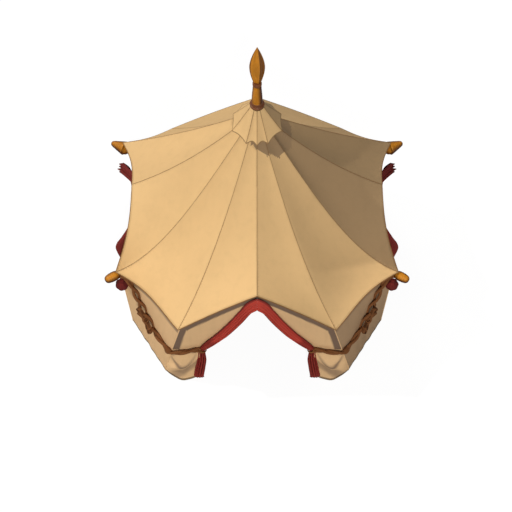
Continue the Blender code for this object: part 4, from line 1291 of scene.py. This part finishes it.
def build_spokes():
    """Make the four spokes that end in carved horns outside the eave."""
    for side, word in SIDES:
        for place in SPOKE_SEAMS:
            end = HORNS[place][0][1]
            direction = unit((side * SEAMS[place].x, SEAMS[place].y, 0.0))
            spoke = [
                (SPOKE_RADIUS, HORN_START - 0.02),
                (SPOKE_RADIUS, HUB_RADIUS + 0.03),
                (SPOKE_RADIUS * 0.9, HUB_RADIUS + CLEARANCE),
            ]
            known = np.array(HORNS[place] + spoke)[::-1]
            thin = np.linspace(HUB_RADIUS + CLEARANCE, HORN_START - 0.06, 40)
            thick = np.linspace(HORN_START - 0.04, end - 0.03, 48)
            tip = end - 0.026 * np.linspace(1.0, 0.0, 12) ** 2
            distance = np.concatenate([thin, thick, tip])
            radius = np.interp(distance, known[:, 1], known[:, 0])
            carved = np.clip((distance - HORN_START - 0.08) / 0.04, 0.0, 1.0)
            carved = carved * np.clip((end - 0.05 - distance) / 0.03, 0.0, 1.0)
            grooves = (0.5 + 0.5 * np.cos(distance * 150.0)) ** 3
            radius = radius - HORN_GROOVE * carved * grooves
            root_drop, tip_drop = HORN_DROOPS[place]
            past = np.maximum(distance - HORN_START, 0.0) / (end - HORN_START)
            begun = np.clip((distance - HORN_START + 0.02) / 0.035, 0.0, 1.0)
            droop = root_drop * begun + tip_drop * past
            path = direction * distance[:, None] + UP * (SPOKE_HEIGHT - droop)[:, None]
            parts = MeshParts()
            sweep(parts, path, radius, 24)
            horn = parts.build(f"spoke_horn_{place}_{word}", finish("carved wood"))
            # Painted shade where the horn faces away from the light
            paint_shade_away(horn, *HORN_SUN)
            finish_piece(horn, "carved_wood", f"spoke_{place}_{word}")


def wall_folds(v, share, seed):
    """Return how far soft upright folds stand out, more towards the ground."""
    window = np.sin(np.pi * v) ** 0.8
    wave = np.sin(v * 31.0 + seed) * 0.6 + np.sin(v * 17.0 + seed * 2.3) * 0.4
    return WALL_FOLD * wave * window * share**1.3


def wall_outward(panel):
    """Return the direction out of the short wall below a panel."""
    first, last = FEET[panel.first], FEET[panel.last]
    return unit((last[1] - first[1], first[0] - last[0], 0.0))


def hung_wall(top, foot, outward, stand_at):
    """Return a wall from its top down to the ground, upright below its hem's seam.

    Stand_at gives how far the wall stands outward, from the share of its height from the top.
    """
    down = np.linspace(0.0, 1.0, WALL_ROWS + 1)[:, None]
    share = np.minimum(down / HEM_SHARE, 1.0)
    grid = top[None] + (foot + UP * HEM - top)[None] * share[..., None]
    grid = grid + stand_at(share)[..., None] * np.array(outward)
    fall = np.maximum(down - HEM_SHARE, 0.0) / (1.0 - HEM_SHARE)
    grid[..., 2] = grid[..., 2] * (1.0 - fall)
    return grid


def corner_wall_grid(panel):
    """Return the short wall that closes a corner between two doorways."""
    v = np.linspace(0.0, 1.0, WALL_COLUMNS + 1)
    foot = lerp(FEET[panel.first], FEET[panel.last], v)

    def stand_at(share):
        belly = WALL_BELLY * np.sin(np.pi * share) * np.sin(np.pi * v[None])
        return belly + wall_folds(v[None], share, 1.0)

    return hung_wall(under_eave(panel, v, WALL_NOTCH), foot, wall_outward(panel), stand_at)


def wall_marks(grid, shade=0.0):
    """Return the seam and hem distances of a wall that stands on the ground, and its painted shade."""
    run = np.linalg.norm(np.diff(grid, axis=1), axis=-1).sum(axis=1)[:, None]
    share = np.linspace(0.0, 1.0, grid.shape[1])[None]
    to_seam = np.minimum(share, 1.0 - share) * run
    return {"to_seam": to_seam, "to_hem": grid[..., 2], "shade": shade}


def painted_eave_shadow(below, reach):
    """Return the eave's painted shadow on cloth that hangs less than a reach below the eave."""
    return 1.0 - smoothstep((below - reach) / 0.035)


def build_corner_walls(sizes):
    """Make the four canvas walls at the corners."""
    places = {"front": ("front_corner", "side_front"), "back": ("side_back", "back_corner")}
    for place, seams in places.items():
        grid = corner_wall_grid(find_panel(*seams))
        for side, word in SIDES:
            own = mirrored(grid, side)
            # Painted shade: the eave's painted shadow below it, and the even painted shade of each
            # side
            shade = np.maximum(painted_eave_shadow(EAVE - own[..., 2], 0.25) * 0.8, WALL_PAINTED_SHADE[side])
            marks = wall_marks(own, shade)
            node = f"corner_wall_{place}_{word}"
            hang(node, own, sizes.canvas, "wall canvas", marks)


def back_top(along):
    """Return the top of the back wall, along from its right end at 0 to its left end at 1."""
    panel = find_panel("back_corner", "back")
    v = np.where(along <= 0.5, 2.0 * along, 2.0 - 2.0 * along)
    top = under_eave(panel, v, WALL_NOTCH)
    return top * np.stack([np.where(along > 0.5, -1.0, 1.0), v * 0 + 1, v * 0 + 1], axis=-1)


def build_back_wall(sizes):
    """Make the closed wall at the back and the red border along its arch."""
    foot = FEET["back_corner"]
    v = np.linspace(0.0, 1.0, 2 * WALL_COLUMNS + 1)
    ground = np.stack([foot[0] * (1.0 - 2.0 * v), v * 0 + foot[1], v * 0], axis=-1)

    def stand_at(share):
        return np.abs(wall_folds(v[None], share, 4.0)) * BACK_FOLD_SHARE

    grid = hung_wall(back_top(v), ground, (0.0, 1.0, 0.0), stand_at)
    marks = wall_marks(grid)
    hang("back_wall", grid, sizes.canvas, "wall canvas", marks)
    along = 0.02 + 0.96 * v
    top = back_top(along)
    ground = np.stack([foot[0] * (1.0 - 2.0 * along), v * 0 + foot[1], v * 0 + HEM], axis=-1)
    reach = (TRIM_TOP + TRIM_WIDTH * np.linspace(0.0, 1.0, 9))[:, None, None]
    band = top[None] + unit(ground - top)[None] * reach
    band = band + np.array((0.0, 0.014 + sizes.canvas * 0.3, 0.0))
    to_hem = np.minimum(reach - TRIM_TOP, TRIM_TOP + TRIM_WIDTH - reach)[..., 0]
    marks = {"to_seam": 1.0, "to_hem": to_hem}
    hang("back_trim", band, RED_CLOTH, "red cloth", marks)


def flap_grid(name, door):
    """Return the canvas between the eave, the corner seam and the curtain of one doorway."""
    rows, columns = FLAP_ROWS, FLAP_COLUMNS
    down = np.broadcast_to(np.linspace(0.0, 1.0, rows + 1)[:, None], (rows + 1, columns + 1))
    along = np.broadcast_to(np.linspace(0.0, 1.0, columns + 1)[None], down.shape)
    share = 1.0 - along if door.corner_first else along
    last_row, hem_row = FLAP_HEM_SHARES
    grid = door.flap_point(np.minimum(down, last_row), share)
    foot = door.flap_point(np.ones_like(down), share)
    foot[..., 2] = FLAP_HEM
    turn_in = np.clip((down - last_row) / (hem_row - last_row), 0.0, 1.0)
    grid = lerp(grid, foot, turn_in)
    fall = np.clip((down - hem_row) / (1.0 - hem_row), 0.0, 1.0)
    grid[..., 2] *= 1.0 - fall
    peak = SEAMS[name.split("_")[0]]
    # Painted shade on the flap: the eave's painted shadow below it, a painted shadow wedge under the
    # corner, and a painted shadow line beside the curtain
    across = np.clip(grid @ door.to_corner / SEAMS["front_corner"].x, 0.0, 1.0)
    below = EAVE + peak.rise * (1.0 - across) - grid[..., 2]
    shade = painted_eave_shadow(below, 0.28)
    width = np.linalg.norm(grid[:, -1] - grid[:, 0], axis=-1)[:, None]
    to_seam = (1.0 - share) * width
    high = np.clip(1.0 - below / CORNER_SHADOW_DEPTH, 0.0, 1.0)
    wedge = 1.0 - smoothstep((to_seam - 0.13 - 0.12 * high**2) / 0.03)
    shade = np.maximum(shade, wedge * (below < CORNER_SHADOW_DEPTH) * (down > 0.3))
    beside_door = 1.0 - smoothstep((share * width - 0.03) / 0.05)
    shade = np.maximum(shade, 0.7 * beside_door * (down < 0.62))
    if name == "front":
        stand, creases = swag_folds(down, share)
        shade = np.maximum(shade, creases)
    else:
        stand = 0.010 * np.sin(share * 19.0 + 1.0) * np.sin(np.pi * share)
        stand = stand * smoothstep(down * 1.4 - 0.2)
    return grid + door.out * (stand * (1.0 - 0.5 * turn_in))[..., None], shade


def swag_folds(down, share):
    """Return how far a front flap's folds stand out where the rope gathers it, and their painted
    shade.
    """
    rope = TIE_LEVEL + (KNOT_LEVEL - TIE_LEVEL) * share
    edges = np.sin(np.pi * np.clip(share, 0.0, 1.0))
    loop = np.sin(np.pi * np.clip((share - 0.20) / 0.80, 0.0, 1.0))
    pinch = -0.020 * bump(down, rope, 0.030) * edges
    first_low = rope + 0.015 + 0.105 * loop
    first = 0.045 * bump(down, first_low, 0.022) * loop**0.5
    second_low = TIE_LEVEL + 0.035 + (0.90 - TIE_LEVEL) * share**0.8
    second = 0.055 * bump(down, second_low, 0.030) * edges**0.4
    loose = 0.012 * np.sin(share * 15.0) * edges * smoothstep((down - 0.72) / 0.2)
    # Painted shade in the creases under the folds and beneath the rope
    crease = 0.95 * bump(down, first_low + 0.034, 0.016) * loop**0.5
    under = 0.70 * smoothstep((down - second_low - 0.020) / 0.030) * edges**0.6
    under = under * (1.0 - smoothstep((down - second_low - 0.08) / 0.06))
    beneath_rope = 0.70 * bump(down, rope + 0.030, 0.014)
    creases = np.maximum(np.maximum(crease, under), beneath_rope)
    return pinch + np.maximum(first, second) + loose, creases


def build_flaps(sizes):
    """Make the six canvas flaps beside the doorways."""
    for name, door in DOORS.items():
        grid, shade = flap_grid(name, door)
        for side, word in SIDES:
            own = mirrored(grid, side)
            node = f"flap_{name}_{word}"
            marks = wall_marks(own, shade[:, ::side])
            hang(node, own, sizes.canvas, "wall canvas", marks)


def build_corner_seams(sizes):
    """Sew the walls and flaps together with a covered cord down each corner."""
    lines = []
    share = np.linspace(0.0, 1.0, 24)
    for corner, foot in FEET.items():
        panel = next(panel for panel in PANELS if panel.last == corner)
        top = under_eave(panel, np.array(1.0), WALL_NOTCH)
        line = corner_line(top, foot, share) + unit(foot) * (sizes.canvas * 0.6)
        lines += [flipped(line, side) for side, _ in SIDES]
    cord = {"Radius": CORNER_CORD}
    path_piece("corner_seam_cords", lines, "Seam cord", "corner cord", "wall_canvas", **cord)


def curtain_grid(door, folds, seed):
    """Return a gathered curtain as a ribbon of pleats down its route."""
    path, across, half_width, half_depth = door.rings(CURTAIN_STEPS)
    q = np.linspace(0.0, 1.0, CURTAIN_COLUMNS + 1)[None]
    place = np.linspace(0.0, 1.0, len(path))[:, None]
    drift = 0.5 * np.sin(place * 7.0 + seed) + 0.3 * np.sin(place * 17.0 + seed * 1.7)
    wave = np.cos(math.tau * folds * q + drift + seed)
    wave = 0.82 * wave + 0.18 * np.cos(math.tau * folds * 1.63 * q + 2.0 * drift + seed * 3.1)
    depth = (half_depth - 0.006)[:, None] * (0.50 + 0.50 * np.sin(np.pi * q) ** 0.6)
    depth = depth * (1.0 - 0.86 * smoothstep((place - 0.80) / 0.18))
    crown = 0.012 * np.sin(np.pi * q)
    offset = (half_width[:, None] * (2.0 * q - 1.0))[..., None] * across[:, None]
    grid = path[:, None] + offset + door.out * (depth * wave + crown)[..., None]
    past = np.maximum(0.0, 0.0002 - grid @ door.to_corner)
    grid = grid + door.to_corner * past[..., None]
    grid[0] -= door.to_corner * (DOOR_MIDDLE - 0.0002)
    return grid, wave


def build_curtains():
    """Make the six red curtains, gathered at their ties."""
    for number, (name, door) in enumerate(DOORS.items()):
        grid, wave = curtain_grid(door, 4, 0.9 + number)
        q = np.linspace(0.0, 1.0, CURTAIN_COLUMNS + 1)[None]
        down = mean_run(grid)[:, None]
        # Painted shade: darker edges, a darker tail on the front curtains and dark side curtains
        edge = 0.75 * (1.0 - smoothstep(np.minimum(q, 1.0 - q) / 0.18))
        tail = 0.55 * smoothstep((down / down[-1] - 0.52) / 0.05)
        shade = np.maximum(edge, tail if name == "front" else 0.92)
        # The seam mark holds the pleats' depth, so the cloth's seam shading paints shade in the fold
        # hollows
        to_seam = 0.012 + 0.05 * (wave + 1.0)
        for side, word in SIDES:
            own = mirrored(grid, side)
            node = f"curtain_{name}_{word}"
            marks = {"to_seam": to_seam[:, ::side], "to_hem": down[-1] - down, "shade": shade}
            hang(node, own, RED_CLOTH, "red cloth", marks)


def build_knots():
    """Make the pleated red knots that hang below the two front horns."""
    profile = [
        (0.010, 0.165), (0.045, 0.160), (0.034, 0.120), (0.075, 0.085), (0.116, 0.030),
        (0.119, -0.020), (0.092, -0.074), (0.045, -0.100), (0.010, -0.108),
    ]
    for side, word in SIDES:

        def pleated(points, centre=flipped(KNOT_PLACE, side)):
            turn = np.arctan2(points[..., 1], points[..., 0])
            swell = 1.0 + 0.035 * np.cos(turn * 7.0 + points[..., 2] * 9.0)
            return points * np.stack([swell, swell, np.ones_like(swell)], axis=-1) + centre

        parts = MeshParts()
        turned(parts, rounded(profile), 72, pleated)
        knot = parts.build(f"curtain_knot_{word}", finish("red cloth"))
        for label, value in (("to_seam", 0.04), ("to_hem", 1.0)):
            mark(knot, label, np.full(len(knot.data.vertices), value))
        # Painted shade where the knot faces away from the light
        paint_shade_away(knot, *KNOT_SUN)
        finish_piece(knot, "red_cloth")


def wall_face_point(panel, v, height, standoff):
    """Return a point in front of a corner wall, and the direction out of that wall."""
    top = under_eave(panel, np.array(v), WALL_NOTCH)
    foot = lerp(FEET[panel.first], FEET[panel.last], v)
    share = (top[2] - height) / (top[2] - HEM)
    outward = wall_outward(panel)
    belly = WALL_BELLY * math.sin(math.pi * share) * math.sin(math.pi * v)
    placed = lerp(top, foot + UP * HEM, share)
    return placed + outward * (CAD_CANVAS + standoff + belly), outward


def garland_stations():
    """Return the garland's stations from the eave across the corner wall to the front tie."""
    panel = find_panel("front_corner", "side_front")
    door = DOORS["front"]
    stations = [wall_face_point(panel, v, EAVE + height, ROPE_STANDOFF)[0] for v, height in GARLAND]
    for share in GARLAND_ON_FLAP:
        level = TIE_LEVEL + (KNOT_LEVEL - TIE_LEVEL) * share
        on_flap = door.flap_point(np.array(level), np.array(share))
        stations.append(on_flap + door.out * (CAD_CANVAS + ROPE_STANDOFF))
    ring = TIE_STATION * RINGS_PER_STATION
    at_tie = door.path[ring] + door.sideways[ring] * door.half_width[ring]
    stations.append(at_tie + door.out * (door.half_depth[ring] + 0.02))
    return np.array(stations)


def build_garlands(sizes):
    """Make the pair of ropes that hang from the eave over each corner wall to the front tie."""
    stations = garland_stations()
    corner = np.array((SEAMS["side_front"].x, SEAMS["side_front"].y, 0.0))
    at_horn = unit(corner) * (HORN_START + 0.03) + UP * (EAVE - 0.17)
    panel = find_panel("front_corner", "side_front")
    beside_horn = wall_face_point(panel, 0.94, EAVE - 0.13, ROPE_STANDOFF)[0]
    route = resampled(smooth_path(np.vstack([at_horn, beside_horn, stations]), 12), 0.012)
    ahead, across, over = along_path(route)
    run = run_along(route)
    share = run / run[-1]
    knot = np.argmin(np.linalg.norm(route - stations[KNOT_STATION], axis=1))
    spread = np.sin(np.pi * np.clip(share / share[knot], 0.0, 1.0)) ** 2
    apart = GARLAND_NEAR + (GARLAND_FAR - GARLAND_NEAR) * spread
    turns = run / GARLAND_TURN * math.tau
    for side, word in SIDES:
        parts = MeshParts()
        for strand in (0.0, math.pi):
            offset = across * np.cos(turns + strand)[:, None] + over * np.sin(turns + strand)[:, None]
            own = flipped(route + offset * apart[:, None], side)
            twist(parts, own, sizes.rope * 0.88, pitch=0.09)
        wind_knot(parts, flipped(stations[KNOT_STATION], side), flipped(ahead[knot], side), 0.055, 5)
        rope = parts.build(f"garland_{word}_rope", finish("rope"), 60)
        finish_piece(rope, "rope", f"garland_rope_{word}")


def wind_knot(parts, centre, axis, radius, turns):
    """Add a few close turns of rope round an axis."""
    axis = unit(axis)
    first = unit(np.cross(axis, UP))
    second = np.cross(axis, first)
    angle = np.linspace(0.0, math.tau * turns, 24 * turns)
    rise = (angle / math.tau / turns - 0.5) * turns * 0.021
    bulge = radius * (1.0 - 0.25 * (2.0 * np.abs(angle / math.tau / turns - 0.5)) ** 2)
    ring = first * np.cos(angle)[:, None] + second * np.sin(angle)[:, None]
    path = centre + ring * bulge[:, None] + axis * rise[:, None]
    twist(parts, path, 0.012, pitch=0.05, sides=6)


def bow_loop(reach, width, lift, bend):
    """Return a teardrop loop in the bow's own plane: along the rope, across it and out of the wall."""
    angle = np.linspace(0.0, math.tau, 40)
    along = reach * np.sin(angle / 2.0) ** 0.9
    across = width * np.sin(angle) * np.sin(angle / 2.0) + bend * np.sin(angle / 2.0) ** 2
    out = lift * np.sin(angle / 2.0) ** 2 + 0.010 * np.cos(angle / 2.0)
    return np.stack([along, across, out], axis=-1)


def build_bows():
    """Make the bow on each garland: its loops, its tails and the knot between them."""
    panel = find_panel("front_corner", "side_front")
    stations = garland_stations()
    v, height = GARLAND[BOW_STATION]
    centre, outward = wall_face_point(panel, v, EAVE + height, ROPE_STANDOFF + ROPE_RADIUS + 0.022)
    along = unit(stations[BOW_STATION + 1] - stations[BOW_STATION - 1])
    across = unit(np.cross(outward, along))
    basis = np.stack([along, across, outward])
    strips = [bow_loop(BOW_HALF_LENGTH * reach, *shape) for reach, *shape in BOW_LOOPS]
    t = np.linspace(0.0, 1.0, 24)
    lift = 0.012 - 0.012 * t + 0.008 * np.sin(t * 9.0)
    strips += [np.stack([reach * t, bend * t**1.5, lift], axis=-1) for reach, bend in BOW_TAILS]
    for side, word in SIDES:
        parts = MeshParts()
        for strip in strips:
            sweep(parts, flipped(centre + strip @ basis, side), BOW_STRAP, 10, flat=0.30)
            edge = flipped(centre + (strip + (0.0, 0.0, 0.004)) @ basis, side)
            twist(parts, edge, 0.0090, 2, 0.05, sides=6)
        wind_knot(parts, flipped(centre, side), flipped(across, side), 0.050, 5)
        bow = parts.build(f"rope_bow_{word}_tied", finish("rope"), 60)
        finish_piece(bow, "rope", f"rope_bow_{word}")


def build_ties():
    """Make the laid rope loops that gather the curtains."""
    ring = TIE_STATION * RINGS_PER_STATION
    turn = np.arange(36) / 36.0 * math.tau
    for name, door in DOORS.items():
        centre, sideways = door.path[ring], door.sideways[ring]
        width = door.half_width[ring] + TIE_RADIUS + TIE_GAP
        depth = door.half_depth[ring] + TIE_RADIUS + TIE_GAP
        ahead = unit(np.cross(sideways, door.out))
        loop = centre + sideways * (width * np.cos(turn))[:, None]
        loop = loop + door.out * (depth * np.sin(turn))[:, None]
        for side, word in SIDES:
            parts = MeshParts()
            for shift in (-0.014, 0.014):
                twist(parts, flipped(loop + ahead * shift, side), TIE_RADIUS, 3, 0.06, True)
            tie = parts.build(f"tie_{name}_{word}_rope", finish("rope"), 60)
            finish_piece(tie, "rope", f"tie_{name}_{word}")


def cord_round(nodes, curve, sides, radius):
    """Return a round cord along a curve."""
    circle = nodes.add("GeometryNodeCurvePrimitiveCircle")
    profile = nodes.feed(circle, Resolution=sides, Radius=radius)[0]
    cord = nodes.add("GeometryNodeCurveToMesh")
    return nodes.feed(cord, Curve=curve, Profile_Curve=profile, Fill_Caps=True)[0]


def placed_along(nodes, given, instance):
    """Return copies of an instance at even distances along each line, turned to follow it."""
    curve = nodes.feed(nodes.add("GeometryNodeMeshToCurve"), given["Geometry"])[0]
    points = nodes.add("GeometryNodeCurveToPoints", mode="LENGTH")
    points = nodes.feed(points, Curve=curve, Length=given["Spacing"])
    turn = nodes.add("FunctionNodeAlignRotationToVector", axis="Z")
    turn = nodes.feed(turn, Vector=points["Tangent"])[0]
    placed = nodes.add("GeometryNodeInstanceOnPoints")
    return nodes.feed(placed, Points=points["Points"], Instance=instance, Rotation=turn)[0]


def seam_cord_nodes(nodes, given):
    """Return a round cord along each line."""
    curve = nodes.feed(nodes.add("GeometryNodeMeshToCurve"), given["Geometry"])[0]
    return cord_round(nodes, curve, 6, given["Radius"])


def stitch_nodes(nodes, given):
    """Return a row of stitches along each line."""
    ball = nodes.feed(nodes.add("GeometryNodeMeshUVSphere"), Segments=6, Rings=4, Radius=0.5)
    thick, length = given["Thickness"], given["Length"]
    size = nodes.feed(nodes.add("ShaderNodeCombineXYZ"), thick, thick, length)[0]
    stitch = nodes.feed(nodes.add("GeometryNodeTransform"), Geometry=ball["Mesh"], Scale=size)[0]
    return placed_along(nodes, given, stitch)


def lashing_nodes(nodes, given):
    """Return three turns of cord round a rail, at even distances."""
    spiral = nodes.feed(
        nodes.add("GeometryNodeCurveSpiral"),
        Resolution=16,
        Rotations=3.0,
        Start_Radius=given["Radius"],
        End_Radius=given["Radius"],
        Height=0.024,
    )[0]
    return placed_along(nodes, given, cord_round(nodes, spiral, 5, LASHING_CORD))


# Trees that lay things along lines: their sizes and what fills them in
TREES = {
    "Seam cord": (("Radius",), seam_cord_nodes),
    "Stitch row": (("Spacing", "Length", "Thickness"), stitch_nodes),
    "Rail lashing": (("Spacing", "Radius"), lashing_nodes),
}


def geometry_tree(name):
    """Return one of the Geometry Nodes trees, built the first time it is needed."""
    found = bpy.data.node_groups.get(name)
    if found:
        return found
    inputs, fill = TREES[name]
    tree = bpy.data.node_groups.new(name, "GeometryNodeTree")
    kinds = {"Geometry": "NodeSocketGeometry", "Material": "NodeSocketMaterial"}
    for label in ("Geometry", *inputs, "Material"):
        kind = kinds.get(label, "NodeSocketFloat")
        tree.interface.new_socket(label, in_out="INPUT", socket_type=kind)
    tree.interface.new_socket("Geometry", in_out="OUTPUT", socket_type=kinds["Geometry"])
    nodes = Nodes(tree)
    given = nodes.add("NodeGroupInput").outputs
    real = nodes.feed(nodes.add("GeometryNodeRealizeInstances"), fill(nodes, given))[0]
    smooth = nodes.feed(nodes.add("GeometryNodeSetShadeSmooth"), real)[0]
    painted = nodes.add("GeometryNodeSetMaterial")
    painted = nodes.feed(painted, Geometry=smooth, Material=given["Material"])[0]
    nodes.feed(nodes.add("NodeGroupOutput"), painted)
    return tree


def path_piece(name, lines, tree_name, material, slot, **sizes):
    """Run a Geometry Nodes tree on a set of lines and keep the result as a plain mesh."""
    edges = []
    start = 0
    for line in lines:
        edges += [(start + step, start + step + 1) for step in range(len(line) - 1)]
        start += len(line)
    mesh = bpy.data.meshes.new(name)
    mesh.from_pydata(np.vstack(lines).tolist(), edges, [])
    made = bpy.data.objects.new(name, mesh)
    bpy.context.scene.collection.objects.link(made)
    modifier = made.modifiers.new("Tree", "NODES")
    modifier.node_group = geometry_tree(tree_name)
    for item in modifier.node_group.interface.items_tree:
        if item.in_out == "INPUT" and item.name in sizes:
            modifier[item.identifier] = float(sizes[item.name])
        if item.in_out == "INPUT" and item.name == "Material":
            modifier[item.identifier] = finish(material)
    evaluated = made.evaluated_get(bpy.context.evaluated_depsgraph_get())
    made.data = bpy.data.meshes.new_from_object(evaluated)
    made.modifiers.clear()
    made.data.name = name
    return finish_piece(made, slot)


def build_stage():
    """Make the pale floor, the soft studio lights and the camera."""
    scene = bpy.context.scene
    flat = np.array([(-1.0, -1.0), (1.0, -1.0), (1.0, 1.0), (-1.0, 1.0)]) * FLOOR_REACH
    corners = np.column_stack([flat, np.full(4, FLOOR_HEIGHT)])
    floor = new_piece("studio_floor", corners, [[0, 1, 2, 3]], flat, finish("floor"))
    for name, source, share, softness in LIGHTS:
        light = bpy.data.lights.new(name, "SUN")
        light.energy = share * math.pi
        light.angle = softness
        light.color = LIGHT_COLOUR
        made = bpy.data.objects.new(name, light)
        made.rotation_mode = "QUATERNION"
        made.rotation_quaternion = Vector(source).to_track_quat("Z", "Y")
        made.location = Vector(source) * 12.0
        scene.collection.objects.link(made)
    world = bpy.data.worlds.new("studio_world")
    world.use_nodes = True
    nodes = Nodes(world.node_tree)
    sky = nodes.tree.nodes["Background"]
    lit = nodes.feed(sky, Color=SKY_COLOUR, Strength=SKY_STRENGTH)[0]
    backdrop = nodes.feed(nodes.add("ShaderNodeBackground"), Color=WHITE)[0]
    surface = nodes.camera_or(backdrop, lit)
    nodes.feed(nodes.tree.nodes["World Output"], Surface=surface)
    scene.world = world
    camera = bpy.data.objects.new("photo_camera", bpy.data.cameras.new("photo_camera"))
    camera.data.lens = CAMERA_LENS
    camera.data.clip_end = 200.0
    camera.location = CAMERA_PLACE
    aim = Vector(CAMERA_TARGET) - Vector(CAMERA_PLACE)
    camera.rotation_mode = "QUATERNION"
    camera.rotation_quaternion = aim.to_track_quat("-Z", "Y")
    scene.collection.objects.link(camera)
    scene.camera = camera
    scene.view_settings.view_transform = "Standard"


def colour_property(name, description, default):
    """Return a colour that a user may change."""
    return FloatVectorProperty(
        name=name, description=description, default=default, subtype="COLOR", size=3, min=0.0, max=1.0
    )


def length_property(name, description, default):
    """Return a length in metres that a user may change."""
    return FloatProperty(
        name=name, description=description, default=default, min=0.0005, unit="LENGTH", precision=4
    )


class TentColours(bpy.types.PropertyGroup):
    """Colours of the tent's cloths, woods and ropes"""

    canvas: colour_property("Roof canvas", "Colour of the roof and its cap", (0.78, 0.51, 0.235))
    walls: colour_property("Wall canvas", "Colour of the walls and flaps", (0.79, 0.51, 0.262))
    curtains: colour_property("Curtains", "Colour of the curtains and trim", (0.55, 0.066, 0.044))
    carved_wood: colour_property("Carved wood", "Colour of the horns and finial", (0.80, 0.30, 0.014))
    dark_wood: colour_property("Dark wood", "Colour of the finial's rings", (0.20, 0.060, 0.016))
    frame_wood: colour_property("Frame wood", "Colour of the pole and rails", (0.20, 0.10, 0.045))
    rope: colour_property("Rope", "Colour of the ropes and bows", (0.105, 0.040, 0.013))
    thread: colour_property("Thread", "Colour of the stitching", (0.15, 0.075, 0.028))
    floor: colour_property("Floor", "Colour of the studio floor", (0.93, 0.93, 0.93))


class TentSizes(bpy.types.PropertyGroup):
    """Sizes of the tent's cloth, stitching and ropes"""

    canvas: length_property("Canvas", "Thickness of the roof and walls", 0.008)
    thread: length_property("Thread", "Distance between threads of the weave", 0.006)
    seam_allowance: length_property("Seam allowance", "Distance from a seam to its stitches", 0.022)
    stitch_spacing: length_property("Stitch spacing", "Distance between stitches", 0.055)
    stitch_length: length_property("Stitch length", "Length of one stitch", 0.034)
    rope: length_property("Rope", "Radius of the garland's ropes together", ROPE_RADIUS)


class TENT_OT_stage(bpy.types.Operator):
    """Set up the floor, lights and camera"""

    bl_idname = "tent.stage"
    bl_label = "Stage"

    def execute(self, context):
        build_stage()
        return {"FINISHED"}


class TENT_OT_frame(bpy.types.Operator):
    """Make the centre pole, the hub and the rail under the eave"""

    bl_idname = "tent.frame"
    bl_label = "Pole and rail"

    def execute(self, context):
        build_frame()
        return {"FINISHED"}


class TENT_OT_spokes(bpy.types.Operator):
    """Make the four spokes with their carved horns"""

    bl_idname = "tent.spokes"
    bl_label = "Spokes and horns"

    def execute(self, context):
        build_spokes()
        return {"FINISHED"}


class TENT_OT_finial(bpy.types.Operator):
    """Make the finial's collar, shaft, ring and leaf"""

    bl_idname = "tent.finial"
    bl_label = "Finial"

    def execute(self, context):
        build_finial()
        return {"FINISHED"}


class TENT_OT_roof(bpy.types.Operator):
    """Stretch the roof canvas with its seams and hem"""

    bl_idname = "tent.roof"
    bl_label = "Roof canvas"

    def execute(self, context):
        build_roof(context.scene.tent_sizes)
        return {"FINISHED"}


class TENT_OT_crown_cap(bpy.types.Operator):
    """Make the pleated cap over the top of the roof"""

    bl_idname = "tent.crown_cap"
    bl_label = "Crown cap"

    def execute(self, context):
        build_crown_cap()
        return {"FINISHED"}


class TENT_OT_corner_walls(bpy.types.Operator):
    """Hang the four corner walls"""

    bl_idname = "tent.corner_walls"
    bl_label = "Corner walls"

    def execute(self, context):
        build_corner_walls(context.scene.tent_sizes)
        return {"FINISHED"}


class TENT_OT_back_wall(bpy.types.Operator):
    """Hang the back wall with its red border"""

    bl_idname = "tent.back_wall"
    bl_label = "Back wall"

    def execute(self, context):
        build_back_wall(context.scene.tent_sizes)
        return {"FINISHED"}


class TENT_OT_flaps(bpy.types.Operator):
    """Hang the canvas flaps beside the doorways"""

    bl_idname = "tent.flaps"
    bl_label = "Door flaps"

    def execute(self, context):
        build_flaps(context.scene.tent_sizes)
        build_corner_seams(context.scene.tent_sizes)
        return {"FINISHED"}


class TENT_OT_curtains(bpy.types.Operator):
    """Hang the red curtains"""

    bl_idname = "tent.curtains"
    bl_label = "Curtains"

    def execute(self, context):
        build_curtains()
        build_knots()
        return {"FINISHED"}


class TENT_OT_ropes(bpy.types.Operator):
    """Tie the curtains, the garlands and their bows"""

    bl_idname = "tent.ropes"
    bl_label = "Ropes and bows"

    def execute(self, context):
        build_ties()
        build_garlands(context.scene.tent_sizes)
        build_bows()
        return {"FINISHED"}


OPERATORS = (
    TENT_OT_stage,
    TENT_OT_frame,
    TENT_OT_spokes,
    TENT_OT_finial,
    TENT_OT_roof,
    TENT_OT_crown_cap,
    TENT_OT_corner_walls,
    TENT_OT_back_wall,
    TENT_OT_flaps,
    TENT_OT_curtains,
    TENT_OT_ropes,
)


class TENT_PT_panel(bpy.types.Panel):
    """Sizes, colours and steps of the tent"""

    bl_idname = "TENT_PT_panel"
    bl_label = "Pavilion Tent"
    bl_space_type = "VIEW_3D"
    bl_region_type = "UI"
    bl_category = "Tent"

    def draw(self, context):
        for group in (context.scene.tent_sizes, context.scene.tent_colours):
            box = self.layout.box()
            for name in type(group).__annotations__:
                box.prop(group, name)
        for operator in OPERATORS:
            self.layout.operator(operator.bl_idname)


CLASSES = (TentColours, TentSizes, *OPERATORS, TENT_PT_panel)


def register():
    """Add the tent's settings, steps and panel to Blender."""
    for each in CLASSES:
        bpy.utils.register_class(each)
    bpy.types.Scene.tent_colours = PointerProperty(type=TentColours)
    bpy.types.Scene.tent_sizes = PointerProperty(type=TentSizes)


def unregister():
    """Take the tent's settings, steps and panel out of Blender."""
    del bpy.types.Scene.tent_sizes
    del bpy.types.Scene.tent_colours
    for each in reversed(CLASSES):
        bpy.utils.unregister_class(each)


def main():
    """Build the tent step by step."""
    register()
    for operator in OPERATORS:
        section, step = operator.bl_idname.split(".")
        getattr(getattr(bpy.ops, section), step)()


if __name__ == "__main__":
    main()
